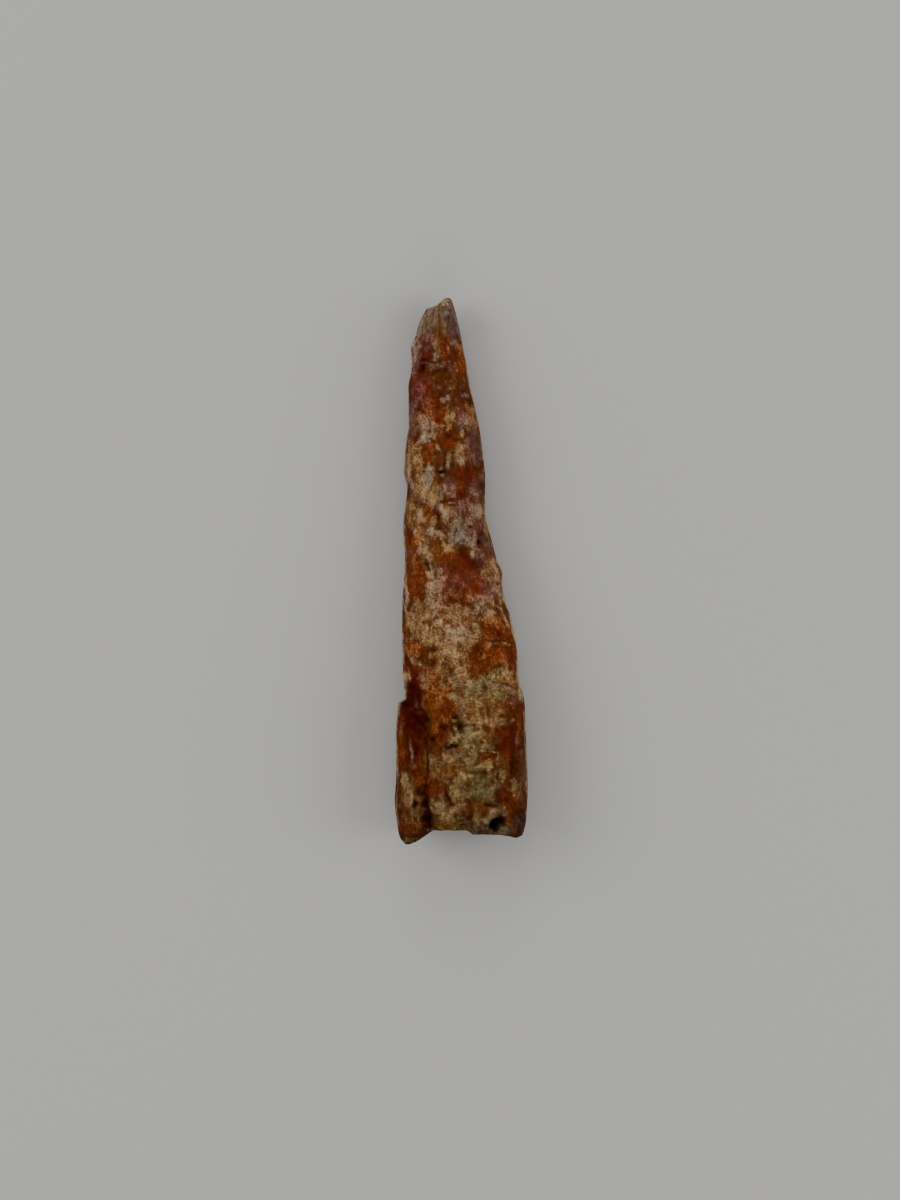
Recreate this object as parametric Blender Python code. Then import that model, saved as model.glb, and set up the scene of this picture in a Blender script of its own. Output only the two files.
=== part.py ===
# Fossil pterosaur tooth, one solid piece, lying on its side with its tip towards +Y.
# Lengths are in millimetres until the mesh is made. The frame is metres, +Z up, with the
# origin under the middle of the tooth, on the surface that it lies on.
import bpy
import numpy as np

MM = 0.001

# Driving dimensions
LENGTH = 38.0
BASE_WIDTH = 9.2
BASE_THICKNESS = 6.2
SECTION_POWER = 2.2
TOP_SHARE = 0.52

# The two side edges seen from above: (height above the base end, distance across), as shares
# of LENGTH and of half the BASE_WIDTH. The left edge runs nearly straight and the right one
# carries the taper, so the crown leans to the left.
LEFT_EDGE = [
    (0.000, -0.840), (0.021, -0.872), (0.080, -0.905), (0.120, -0.885), (0.210, -0.885),
    (0.265, -0.850), (0.315, -0.880), (0.435, -0.895), (0.515, -0.850), (0.580, -0.880),
    (0.648, -0.820), (0.682, -0.870), (0.737, -0.835), (0.766, -0.792), (0.830, -0.805),
    (0.876, -0.748), (0.908, -0.760), (0.930, -0.690), (0.955, -0.632), (0.971, -0.575),
    (0.984, -0.440), (0.994, -0.325), (1.000, -0.225),
]
RIGHT_EDGE = [
    (0.000, 0.940), (0.021, 0.985), (0.105, 1.010), (0.210, 0.980), (0.264, 0.958),
    (0.298, 0.872), (0.342, 0.856), (0.400, 0.780), (0.470, 0.632), (0.492, 0.630),
    (0.518, 0.545), (0.548, 0.478), (0.606, 0.368), (0.666, 0.372), (0.700, 0.345),
    (0.765, 0.270), (0.824, 0.162), (0.895, 0.055), (0.948, -0.033), (0.984, -0.108),
    (0.994, -0.135), (1.000, -0.172),
]

# Thickness along the crown: (height as a share of LENGTH, share of BASE_THICKNESS)
THICKNESS = [
    (0.00, 0.97), (0.13, 1.00), (0.27, 0.95), (0.42, 0.85), (0.58, 0.72), (0.74, 0.60),
    (0.87, 0.49), (0.93, 0.43), (0.965, 0.34), (0.987, 0.22), (1.00, 0.08),
]

# The broken base end, in millimetres: (distance across, height of the break above the lowest
# corner), for the wall that faces up and for the one that faces down
BREAK_ABOVE = [
    (-4.60, 0.85), (-4.15, 0.15), (-3.75, 0.00), (-3.10, 0.28), (-2.40, 0.75), (-1.85, 1.10),
    (0.30, 1.12), (0.90, 0.82), (2.60, 0.80), (3.90, 0.50), (4.30, 0.52), (4.65, 0.80),
]
BREAK_BELOW = [
    (-4.60, 0.95), (-3.30, 0.60), (-1.60, 1.35), (0.40, 1.70), (2.20, 1.25), (4.65, 0.95),
]
BREAK_FADE = 3.5
BREAK_BLEND = 0.8

# The shallow hollow of the broken end: its wall as a share of the half width, where its side
# reaches the floor as such a share, and its depth and the slant of its floor in millimetres
WALL_SHARE, FLOOR_SHARE = 0.24, 0.44
HOLLOW_DEPTH, HOLLOW_SLANT = 1.3, 0.35

# The sliver of outer wall left standing along the lower left side: it ends in a ledge above,
# at a crack on the upper face, and feathers out on the underside
SLIVER_RISE = 0.45
SLIVER_TOP, LEDGE_HALF = 9.9, 0.2
SLIVER_FROM, SLIVER_TO = np.radians(116.0), np.radians(232.0)
SLIVER_EDGE, SLIVER_FEATHER = 0.12, 0.60

# The crack beside it: distance across at the base and at its top end, half width and depth
CRACK_BASE_X, CRACK_TOP_X, CRACK_TOP = -2.30, -2.40, 10.6
CRACK_HALF, CRACK_DEPTH, CRACK_FADE = 0.42, 0.22, 6.0

# The broken tip: its left half has flaked off along a crack
FLAKE_FROM, FLAKE_FULL = 33.4, 34.6
FLAKE_DEPTH = 0.20
FLAKE_CRACK, FLAKE_EDGE = -1.55, 0.25

# The uneven surface: how far each kind of wave stands out, and how long it is
SWELL_RISE, SWELL_LENGTH, SWELL_TWIST = 0.060, 8.7, 2.0
LUMP_RISE, LUMP_LENGTH, LUMP_TWIST = 0.055, 4.9, 0.2
FLUTE_RISE, FLUTES, FLUTE_SWAY = 0.035, 7, 0.9

# Pits in the upper face: (across, height, half across, half height, depth). The floor is level
# over the inner part of each.
PIT_FLOOR = 0.2
PITS = [(2.45, 1.55, 0.62, 0.48, 0.62), (-0.70, 6.95, 0.60, 0.32, 0.30)]

# How the underside lies: it bears on a worn flat, and the tip rises clear
WORN_DEPTH = 0.09
WORN_FROM, WORN_TO = 3.0, 21.0
END_RISE = 0.16
TIP_RISE = 0.70
TIP_ROUND, TIP_ROUND_FROM = 0.75, 35.2

COLUMNS = 64
ROW_STEP, ROW_GAP = 0.6, 0.2
TIP_ROWS = (36.3, 36.7, 37.05, 37.35, 37.6, 37.8, 37.93)
LEDGE_ROWS = (SLIVER_TOP - LEDGE_HALF, SLIVER_TOP + LEDGE_HALF)
HOLLOW_ROWS = (0.93, 0.84, 0.74, 0.64, 0.5, 0.34, 0.17)


# A smooth curve through the stations, in cubic pieces that never run past them. The slope at a
# station is the harmonic mean of the chords on its two sides, or level where they change sign.
def smooth_between(stations, at):
    x, y = np.array(stations, float).T
    chord = np.diff(y) / np.diff(x)
    before, after = chord[:-1], chord[1:]
    turning = before * after <= 0
    inner = np.where(turning, 0.0, 2 * before * after / np.where(turning, 1.0, before + after))
    slope = np.concatenate([chord[:1], inner, chord[-1:]])
    i = np.clip(np.searchsorted(x, at) - 1, 0, len(x) - 2)
    step = x[i + 1] - x[i]
    t = np.clip((at - x[i]) / step, 0.0, 1.0)
    return (
        y[i] * (1 + 2 * t) * (1 - t) ** 2
        + y[i + 1] * t * t * (3 - 2 * t)
        + step * (slope[i] * t * (1 - t) ** 2 - slope[i + 1] * t * t * (1 - t))
    )


def ramp(value, start, end):
    t = np.clip((value - start) / (end - start), 0.0, 1.0)
    return t * t * (3 - 2 * t)


# Low swellings and lengthwise flutes of the crown, as waves along it and around it. They die out
# at the side edges, which keep their outline.
def swellings(height, angle):
    turns = 2 * np.pi * height
    around = np.sin(angle)
    swell = np.sin(turns / SWELL_LENGTH + SWELL_TWIST * around) * np.cos(3 * angle)
    lump = np.sin(turns / LUMP_LENGTH) * np.sin(2 * angle + LUMP_TWIST * height)
    flute = np.cos(FLUTES * angle + FLUTE_SWAY * np.sin(turns / SWELL_LENGTH))
    return np.abs(around) * (SWELL_RISE * swell + LUMP_RISE * lump + FLUTE_RISE * flute)


# What stands proud of the plain section or is missing from it, measured away from the axis
def relief(height, angle, across, is_upper):
    sliver = (
        np.abs(np.cos(angle))
        * ramp(angle, SLIVER_FROM, SLIVER_FROM + SLIVER_EDGE)
        * (1 - ramp(angle, SLIVER_TO - SLIVER_FEATHER, SLIVER_TO))
        * (1 - ramp(height, SLIVER_TOP - LEDGE_HALF, SLIVER_TOP + LEDGE_HALF))
    )
    crack_x = CRACK_BASE_X + (CRACK_TOP_X - CRACK_BASE_X) * height / CRACK_TOP
    crack = (
        (1 - ramp(np.abs(across - crack_x), 0.0, CRACK_HALF))
        * (1 - ramp(height, CRACK_TOP - CRACK_FADE, CRACK_TOP))
        * is_upper
    )
    flake = (
        ramp(height, FLAKE_FROM, FLAKE_FULL)
        * (1 - ramp(across, FLAKE_CRACK - FLAKE_EDGE, FLAKE_CRACK))
        * is_upper
    )
    depth = CRACK_DEPTH * crack + FLAKE_DEPTH * flake
    for pit_x, pit_height, half_x, half_height, pit_depth in PITS:
        away = np.hypot((across - pit_x) / half_x, (height - pit_height) / half_height)
        depth += pit_depth * (1 - ramp(away, PIT_FLOOR, 1.0)) * is_upper
    return swellings(height, angle) + SLIVER_RISE * sliver - depth


# One ring of the section at each height: a superellipse between the two side edges
def crown_points(height, angle):
    share = height / LENGTH
    left = smooth_between(LEFT_EDGE, share) * BASE_WIDTH / 2
    right = smooth_between(RIGHT_EDGE, share) * BASE_WIDTH / 2
    thickness = smooth_between(THICKNESS, share) * BASE_THICKNESS
    is_upper = np.sin(angle) > 0
    reach = np.where(is_upper, TOP_SHARE, 1 - TOP_SHARE) * thickness
    middle, half = (left + right) / 2, (right - left) / 2
    cosine, sine = np.cos(angle), np.sin(angle)
    out_x = half * np.sign(cosine) * np.abs(cosine) ** (2 / SECTION_POWER)
    out_z = reach * np.sign(sine) * np.abs(sine) ** (2 / SECTION_POWER)
    grown = 1 + relief(height, angle, middle + out_x, is_upper) / np.hypot(out_x, out_z)
    lowest = (1 - TOP_SHARE) * thickness
    lift = (
        TIP_RISE * ramp(height, WORN_TO, LENGTH)
        + TIP_ROUND * ramp(height, TIP_ROUND_FROM, LENGTH)
        + END_RISE * (1 - ramp(height, 0.0, WORN_FROM))
    )
    axis_z = lowest - WORN_DEPTH + lift
    return middle + out_x * grown, height, axis_z + out_z * grown, middle, axis_z


# How far the break leaves the plain end, at any point of the end
def break_height(across, share_up):
    above = smooth_between(BREAK_ABOVE, across)
    below = smooth_between(BREAK_BELOW, across)
    return below + (above - below) * ramp(share_up, -BREAK_BLEND, BREAK_BLEND)


def tooth_points():
    plain_rows = np.arange(0.0, TIP_ROWS[0] - ROW_STEP / 2, ROW_STEP)
    from_ledge = np.abs(plain_rows[:, None] - LEDGE_ROWS).min(axis=1)
    plain_rows = plain_rows[from_ledge > ROW_GAP]
    rows = np.sort(np.concatenate([plain_rows, LEDGE_ROWS, TIP_ROWS]))
    turn = np.arange(COLUMNS) / COLUMNS * 2 * np.pi
    height, angle = np.meshgrid(rows, turn, indexing="ij")
    x, up, z, middle, axis_z = crown_points(height, angle)
    fade = 1 - ramp(height, 0.0, BREAK_FADE)
    up = up + break_height(x, np.sin(angle)) * fade
    crown = np.stack([x, up, z], axis=-1)

    # From the rim of the break inwards, over the wall's end and down to the hollow's floor
    share = np.array(HOLLOW_ROWS)[:, None]
    rim_x, rim_z, centre_x, centre_z = x[0], z[0], middle[0], axis_z[0]
    inner_x = centre_x + share * (rim_x - centre_x)
    inner_z = centre_z + share * (rim_z - centre_z)
    sunk = 1 - ramp(share, FLOOR_SHARE, 1 - WALL_SHARE)
    floor_up = HOLLOW_DEPTH + HOLLOW_SLANT * inner_x / BASE_WIDTH
    inner_up = break_height(inner_x, share * np.sin(turn)) + floor_up * sunk
    hollow = np.stack([inner_x, inner_up, inner_z], axis=-1)[::-1]
    floor_point = hollow[0].mean(axis=0)
    tip_point = np.array([crown[-1, :, 0].mean(), LENGTH, crown[-1, :, 2].mean()])
    points = np.concatenate([[floor_point], hollow.reshape(-1, 3), crown.reshape(-1, 3), [tip_point]])

    # Worn flat where it would reach below the surface, then centred over the origin
    points[:, 2] = np.maximum(points[:, 2], 0.0)
    middle_xy = (points[:, :2].min(axis=0) + points[:, :2].max(axis=0)) / 2
    points[:, :2] -= middle_xy
    return points, len(HOLLOW_ROWS) + len(rows)


# Quads between neighbouring rings, and a fan of triangles at each end point
def ring_faces(ring_count):
    column = np.arange(COLUMNS)
    after = (column + 1) % COLUMNS
    faces = []
    for ring in range(ring_count - 1):
        first = 1 + ring * COLUMNS
        second = first + COLUMNS
        faces += np.stack(
            [first + column, second + column, second + after, first + after], axis=1
        ).tolist()
    last = 1 + (ring_count - 1) * COLUMNS
    tip = 1 + ring_count * COLUMNS
    faces += np.stack([np.zeros_like(column), 1 + column, 1 + after], axis=1).tolist()
    faces += np.stack([np.full_like(column, tip), last + after, last + column], axis=1).tolist()
    return faces


def fossil_material():
    material = bpy.data.materials.new("rust_stained_fossil")
    material.use_nodes = True
    shader = material.node_tree.nodes["Principled BSDF"]
    shader.inputs["Base Color"].default_value = (0.150, 0.062, 0.026, 1.0)
    shader.inputs["Roughness"].default_value = 0.62
    shader.inputs["Metallic"].default_value = 0.0
    return material


def build_tooth():
    points, ring_count = tooth_points()
    mesh = bpy.data.meshes.new("tooth")
    mesh.from_pydata((points * MM).tolist(), [], ring_faces(ring_count))
    mesh.validate()
    mesh.materials.append(fossil_material())
    mesh.shade_smooth()
    tooth = bpy.data.objects.new("tooth", mesh)
    bpy.context.scene.collection.objects.link(tooth)
    return tooth


for left_over in list(bpy.data.objects):
    bpy.data.objects.remove(left_over)
build_tooth()
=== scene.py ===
import bpy
import numpy as np
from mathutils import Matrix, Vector


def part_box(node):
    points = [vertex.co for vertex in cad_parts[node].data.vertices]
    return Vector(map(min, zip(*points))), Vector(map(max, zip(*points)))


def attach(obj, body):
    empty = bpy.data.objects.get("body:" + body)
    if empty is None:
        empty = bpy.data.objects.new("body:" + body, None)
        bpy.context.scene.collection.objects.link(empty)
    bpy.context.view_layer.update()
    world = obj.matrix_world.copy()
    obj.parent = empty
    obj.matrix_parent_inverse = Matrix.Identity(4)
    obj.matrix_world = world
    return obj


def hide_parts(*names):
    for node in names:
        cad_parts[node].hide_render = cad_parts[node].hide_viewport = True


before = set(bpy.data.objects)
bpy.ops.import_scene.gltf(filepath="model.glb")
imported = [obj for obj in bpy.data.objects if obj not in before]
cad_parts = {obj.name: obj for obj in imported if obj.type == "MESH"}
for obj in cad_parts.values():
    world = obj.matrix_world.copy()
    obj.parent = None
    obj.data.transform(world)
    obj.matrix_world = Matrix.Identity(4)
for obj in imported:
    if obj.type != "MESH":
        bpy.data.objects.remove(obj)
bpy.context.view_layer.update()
print("frame loaded, nodes:", len(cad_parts))

# A fossil tooth of one piece lies on its side on a pale floor, with its tip towards +Y.
# Lengths are millimetres until a mesh is made: across to the right, up towards the tip.
mm = 0.001


# Smooth curve through stations in cubic pieces; the slope at a station is the harmonic mean of
# the chords beside it, or level where they change sign.
def smoothBetween(stations, at):
    x, y = np.array(stations, float).T
    chord = np.diff(y) / np.diff(x)
    before, after = chord[:-1], chord[1:]
    turning = before * after <= 0
    inner = np.where(turning, 0.0, 2 * before * after / np.where(turning, 1.0, before + after))
    slope = np.concatenate([chord[:1], inner, chord[-1:]])
    i = np.clip(np.searchsorted(x, at) - 1, 0, len(x) - 2)
    step = x[i + 1] - x[i]
    t = np.clip((at - x[i]) / step, 0.0, 1.0)
    return (y[i] * (1 + 2 * t) * (1 - t) ** 2 + y[i + 1] * t * t * (3 - 2 * t)
            + step * (slope[i] * t * (1 - t) ** 2 - slope[i + 1] * t * t * (1 - t)))


# Rises from 0 at start to 1 at end as t squared times (3 less 2t)
def ramp(value, start, end):
    t = np.clip((value - start) / (end - start), 0.0, 1.0)
    return t * t * (3 - 2 * t)


# First where the share is 0, second where it is 1, and in a straight line in between
def between(first, second, share):
    return first + share * (second - first)


# Random values on a cubic lattice, blended across each cell as t cubed times (6t squared less
# 15t plus 10); runs from -1 to 1
def latticeNoise(points, size, seed):
    count = 32
    table = np.random.default_rng(seed).random((count, count, count)) * 2 - 1
    scaled = points / np.asarray(size)
    low = np.floor(scaled).astype(int)
    t = scaled - low
    blend = t * t * t * (t * (t * 6 - 15) + 10)
    total = np.zeros(points.shape[:-1])
    for corner in np.ndindex(2, 2, 2):
        at = (low + corner) % count
        share = np.where(corner, blend, 1 - blend).prod(axis=-1)
        total += share * table[at[..., 0], at[..., 1], at[..., 2]]
    return total


# Sum of lattice noises, each half the size of the one before and lower by the falloff
def fractalNoise(points, size, seed, layers=3, falloff=0.55):
    total, height, reach = 0.0, 1.0, 0.0
    for layer in range(layers):
        total = total + height * latticeNoise(points, np.asarray(size) / 2 ** layer, seed + layer)
        reach += height
        height *= falloff
    return total / reach


# Rounded grains: one less the distance to the nearest of points scattered one to a cell
def granuleNoise(points, size, seed):
    count = 32
    scatter = np.random.default_rng(seed).random((count, count, count, 3))
    scaled = points / size
    low = np.floor(scaled).astype(int)
    nearest = np.full(points.shape[:-1], np.inf)
    for step in np.ndindex(3, 3, 3):
        cell = low + np.array(step) - 1
        at = cell % count
        centre = cell + scatter[at[..., 0], at[..., 1], at[..., 2]]
        nearest = np.minimum(nearest, np.linalg.norm(scaled - centre, axis=-1))
    return 1 - nearest


# Distance from (across, up) to a route of straight pieces
def routeDistance(across, up, route):
    nearest = np.full(across.shape, np.inf)
    for (x0, u0), (x1, u1) in zip(route[:-1], route[1:]):
        runX, runU = x1 - x0, u1 - u0
        along = ((across - x0) * runX + (up - u0) * runU) / (runX * runX + runU * runU)
        along = np.clip(along, 0.0, 1.0)
        nearest = np.minimum(nearest, np.hypot(across - x0 - along * runX, up - u0 - along * runU))
    return nearest


tooth = {
    "length": 38.0,
    "baseWidth": 9.2,
    "baseThickness": 6.2,
    "sectionPower": 2.2,
    "topShare": 0.52,
    # side edges seen from above: (height as a share of length, across as a share of half baseWidth)
    "leftEdge": [
        (0.000, -0.840), (0.021, -0.872), (0.080, -0.905), (0.120, -0.885), (0.210, -0.885),
        (0.265, -0.850), (0.315, -0.880), (0.435, -0.895), (0.515, -0.850), (0.580, -0.880),
        (0.648, -0.820), (0.682, -0.870), (0.737, -0.835), (0.766, -0.792), (0.830, -0.805),
        (0.876, -0.748), (0.908, -0.760), (0.930, -0.690), (0.955, -0.632), (0.972, -0.560),
        (0.9795, -0.520), (0.9830, -0.430), (0.9870, -0.370), (0.9955, -0.285), (1.000, -0.225),
    ],
    "rightEdge": [
        (0.000, 0.940), (0.021, 0.985), (0.105, 1.010), (0.210, 0.980), (0.264, 0.958),
        (0.298, 0.872), (0.342, 0.856), (0.400, 0.780), (0.470, 0.632), (0.492, 0.630),
        (0.518, 0.545), (0.548, 0.478), (0.606, 0.368), (0.666, 0.372), (0.700, 0.345),
        (0.765, 0.270), (0.824, 0.162), (0.895, 0.055), (0.948, -0.033), (0.984, -0.108),
        (0.994, -0.135), (1.000, -0.172),
    ],
    "thickness": [
        (0.00, 0.97), (0.13, 1.00), (0.27, 0.95), (0.42, 0.85), (0.58, 0.72), (0.74, 0.60),
        (0.87, 0.49), (0.93, 0.43), (0.965, 0.34), (0.987, 0.22), (1.00, 0.08),
    ],
    # the broken base end: (across, height of the break), on the upper and on the lower wall
    "breakAbove": [
        (-4.60, 0.85), (-4.15, 0.15), (-3.75, 0.00), (-3.10, 0.28), (-2.40, 0.75), (-1.85, 1.10),
        (0.30, 1.12), (0.90, 0.82), (2.60, 0.80), (3.90, 0.50), (4.30, 0.52), (4.65, 0.80),
    ],
    "breakBelow": [
        (-4.60, 0.95), (-3.30, 0.60), (-1.60, 1.35), (0.40, 1.70), (2.20, 1.25), (4.65, 0.95),
    ],
    "breakFade": 3.5,
    "breakBlend": 0.8,
    "breakRagged": 0.07,
    "breakRaggedSize": 0.8,
    "hollow": {"wall": 0.24, "floor": 0.44, "depth": 1.3, "slant": 0.35, "uneven": 0.6,
               "unevenSize": 1.7},
    # the sliver of outer wall along the lower left side, which ends above in a ledge
    "sliver": {"rise": 0.45, "top": 9.9, "ledgeHalf": 0.16, "from": 116.0, "to": 232.0,
               "edge": 0.10, "feather": 0.60},
    "crack": {"baseX": -2.30, "topX": -2.40, "top": 10.6, "half": 0.40, "depth": 0.22, "fade": 6.0},
    "flake": {"from": 33.4, "full": 34.6, "depth": 0.20, "crack": -1.55, "edge": 0.18},
    "swell": {"rise": 0.060, "length": 8.7, "twist": 2.0},
    "lump": {"rise": 0.055, "length": 4.9, "twist": 0.2},
    "flute": {"rise": 0.035, "count": 7, "sway": 0.9},
    "wornDepth": 0.09,
    "wornFrom": 3.0,
    "wornTo": 21.0,
    "endRise": 0.16,
    "tipRise": 0.70,
    "tipRound": 0.75,
    "tipRoundFrom": 35.2,
}

# the grid: rings along the tooth, closing up towards the tip, and points round each, closer
# together on the upper side
grid = {"columns": 216, "crownRings": 390, "tipRings": 32, "hollowRings": 38, "crownMark": 2.0,
        "tipFrom": 36.4, "tipTo": 37.97, "tipClosing": 1.7, "hollowShare": (0.03, 0.985),
        "upperDensity": 0.25}


# Swell, lump and flute waves along and round the crown, which die out at the side edges
def swellings(height, angle):
    swell, lump, flute = tooth["swell"], tooth["lump"], tooth["flute"]
    turns = 2 * np.pi * height
    around = np.sin(angle)
    return np.abs(around) * (
        swell["rise"] * np.sin(turns / swell["length"] + swell["twist"] * around) * np.cos(3 * angle)
        + lump["rise"] * np.sin(turns / lump["length"]) * np.sin(2 * angle + lump["twist"] * height)
        + flute["rise"] * np.cos(flute["count"] * angle + flute["sway"] * np.sin(turns / swell["length"])))


# What stands proud of the plain section or is missing from it: the sliver, its crack, the flaked
# tip and the swellings
def brokenRelief(height, angle, across, isUpper):
    sliver, crack, flake = tooth["sliver"], tooth["crack"], tooth["flake"]
    start, stop = np.radians(sliver["from"]), np.radians(sliver["to"])
    raised = (np.abs(np.cos(angle)) * ramp(angle, start, start + sliver["edge"])
              * (1 - ramp(angle, stop - sliver["feather"], stop))
              * (1 - ramp(height, sliver["top"] - sliver["ledgeHalf"], sliver["top"] + sliver["ledgeHalf"])))
    crackX = between(crack["baseX"], crack["topX"], height / crack["top"])
    sunk = ((1 - ramp(np.abs(across - crackX), 0.0, crack["half"]))
            * (1 - ramp(height, crack["top"] - crack["fade"], crack["top"])) * isUpper)
    flaked = (ramp(height, flake["from"], flake["full"])
              * (1 - ramp(across, flake["crack"] - flake["edge"], flake["crack"])) * isUpper)
    return (swellings(height, angle) + sliver["rise"] * raised
            - crack["depth"] * sunk - flake["depth"] * flaked)


# Rings of a superellipse between the two side edges, grown by the broken relief
def crownPoints(height, angle):
    share = height / tooth["length"]
    left = smoothBetween(tooth["leftEdge"], share) * tooth["baseWidth"] / 2
    right = smoothBetween(tooth["rightEdge"], share) * tooth["baseWidth"] / 2
    thickness = smoothBetween(tooth["thickness"], share) * tooth["baseThickness"]
    isUpper = np.sin(angle) > 0
    reach = np.where(isUpper, tooth["topShare"], 1 - tooth["topShare"]) * thickness
    middle, half = (left + right) / 2, (right - left) / 2
    cosine, sine = np.cos(angle), np.sin(angle)
    outX = half * np.sign(cosine) * np.abs(cosine) ** (2 / tooth["sectionPower"])
    outZ = reach * np.sign(sine) * np.abs(sine) ** (2 / tooth["sectionPower"])
    grown = 1 + brokenRelief(height, angle, middle + outX, isUpper) / np.hypot(outX, outZ)
    lift = (tooth["tipRise"] * ramp(height, tooth["wornTo"], tooth["length"])
            + tooth["tipRound"] * ramp(height, tooth["tipRoundFrom"], tooth["length"])
            + tooth["endRise"] * (1 - ramp(height, 0.0, tooth["wornFrom"])))
    axisZ = (1 - tooth["topShare"]) * thickness - tooth["wornDepth"] + lift
    return middle + outX * grown, axisZ + outZ * grown, middle, axisZ


# How far the break leaves the plain end: the upper wall's curve, blended into the lower wall's
def breakHeight(across, shareUp):
    above = smoothBetween(tooth["breakAbove"], across)
    below = smoothBetween(tooth["breakBelow"], across)
    return between(below, above, ramp(shareUp, -tooth["breakBlend"], tooth["breakBlend"]))


# Noise over the broken end, the same all the way along the tooth
def endNoise(x, z, size, seed):
    return fractalNoise(np.stack([x, z, np.zeros_like(x)], axis=-1), size, seed)


# The plain shape as rings of points: the hollow from its floor to the rim, then the crown from
# the rim to the tip. It comes with each point's angle, and with its share of the way out of the
# hollow, which is crownMark all over the crown.
def plainRings():
    turn = np.arange(grid["columns"]) / grid["columns"] * 2 * np.pi - np.pi / 2
    turn = turn + grid["upperDensity"] * np.cos(turn)
    rows = np.linspace(0.0, grid["tipFrom"], grid["crownRings"], endpoint=False)
    closing = 1 - (1 - np.linspace(0.0, 1.0, grid["tipRings"])) ** grid["tipClosing"]
    rows = np.concatenate([rows, between(grid["tipFrom"], grid["tipTo"], closing)])
    height, angle = np.meshgrid(rows, turn, indexing="ij")
    x, z, middle, axisZ = crownPoints(height, angle)
    ragged = tooth["breakRagged"] * endNoise(x, z, tooth["breakRaggedSize"], 41)
    up = height + (breakHeight(x, np.sin(angle)) + ragged) * (1 - ramp(height, 0.0, tooth["breakFade"]))
    crown = np.stack([x, up, z], axis=-1)

    hollow = tooth["hollow"]
    share = np.linspace(*grid["hollowShare"], grid["hollowRings"])[:, None]
    innerX = between(middle[0], x[0], share)
    innerZ = between(axisZ[0], z[0], share)
    uneven = hollow["uneven"] * endNoise(innerX, innerZ, hollow["unevenSize"], 43)
    sunk = 1 - ramp(share + uneven * (1 - share), hollow["floor"], 1 - hollow["wall"])
    floorUp = hollow["depth"] + hollow["slant"] * innerX / tooth["baseWidth"]
    innerUp = breakHeight(innerX, share * np.sin(turn)) + ragged[0] * share + floorUp * sunk
    inside = np.stack([innerX, innerUp, innerZ], axis=-1)
    angles = np.broadcast_to(turn, (len(inside) + len(crown), grid["columns"]))
    outward = np.concatenate([share * np.ones_like(turn), np.full(height.shape, grid["crownMark"])])
    return np.concatenate([inside, crown]), angles, outward


# Outward normals: the cross product of the steps round a ring and along the rings
def ringNormals(rings):
    around = np.roll(rings, -1, axis=1) - np.roll(rings, 1, axis=1)
    along = np.gradient(rings, axis=0)
    normal = np.cross(along, around)
    return normal / np.maximum(np.linalg.norm(normal, axis=-1, keepdims=True), 1e-9)


# the fine surface: how far each kind of grain stands out, and how large it is; a pair is where
# something sets in and where it is full
surface = {
    "undulation": 0.045, "undulationSize": 2.1,
    "striae": 0.030, "striaeSize": (0.42, 5.5, 0.42), "striaeOnGrainy": 0.5,
    "grain": 0.034, "grainSize": 0.46, "grainOnSmooth": 0.5,
    "granules": 0.045, "granulesSize": 0.62, "granulesMean": 0.5, "granulesOnSmooth": 0.15,
    "ridge": 0.035, "breakGrain": 0.10, "breakGrainSize": 0.7,
    "sideShare": 0.45, "rimShare": 0.3, "rimWidth": 0.1,
    "upperFrom": (-0.25, 0.05), "floorFade": (0.03, 0.25), "tipFade": (37.2, 37.9),
    "grooveEdge": 1.4, "pitFloor": 0.3, "pitUneven": 0.6, "pitUnevenSize": 0.6,
    # how grainy the surface is, by height; where it isn't, it is drawn out lengthwise
    "grainyAlong": [(0.0, 1.0), (13.0, 1.0), (17.0, 0.7), (21.0, 0.4), (29.0, 0.35), (31.0, 0.9),
                    (33.0, 0.9), (34.6, 0.3), (38.0, 0.1)],
    # how strong the fine flecks are, by height, and how bright a stain shows them
    "flecksAlong": [(0.0, 0.58), (7.0, 0.70), (12.0, 0.95), (18.0, 1.1), (28.0, 1.1), (32.0, 0.95),
                    (37.0, 0.75)],
    "paleFlecksFrom": (0.045, 0.22), "darkFlecksFrom": (0.04, 0.14), "leastDarkFlecks": 0.3,
}

# the net of short winding ridges; the narrower ones are this share as wide and as high
ridgeNet = {"size": (0.85, 0.6, 0.85), "width": 0.15, "narrower": 0.6, "narrowShare": 0.8,
            "areaSize": 1.3, "area": (-0.4, 0.1)}

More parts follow.
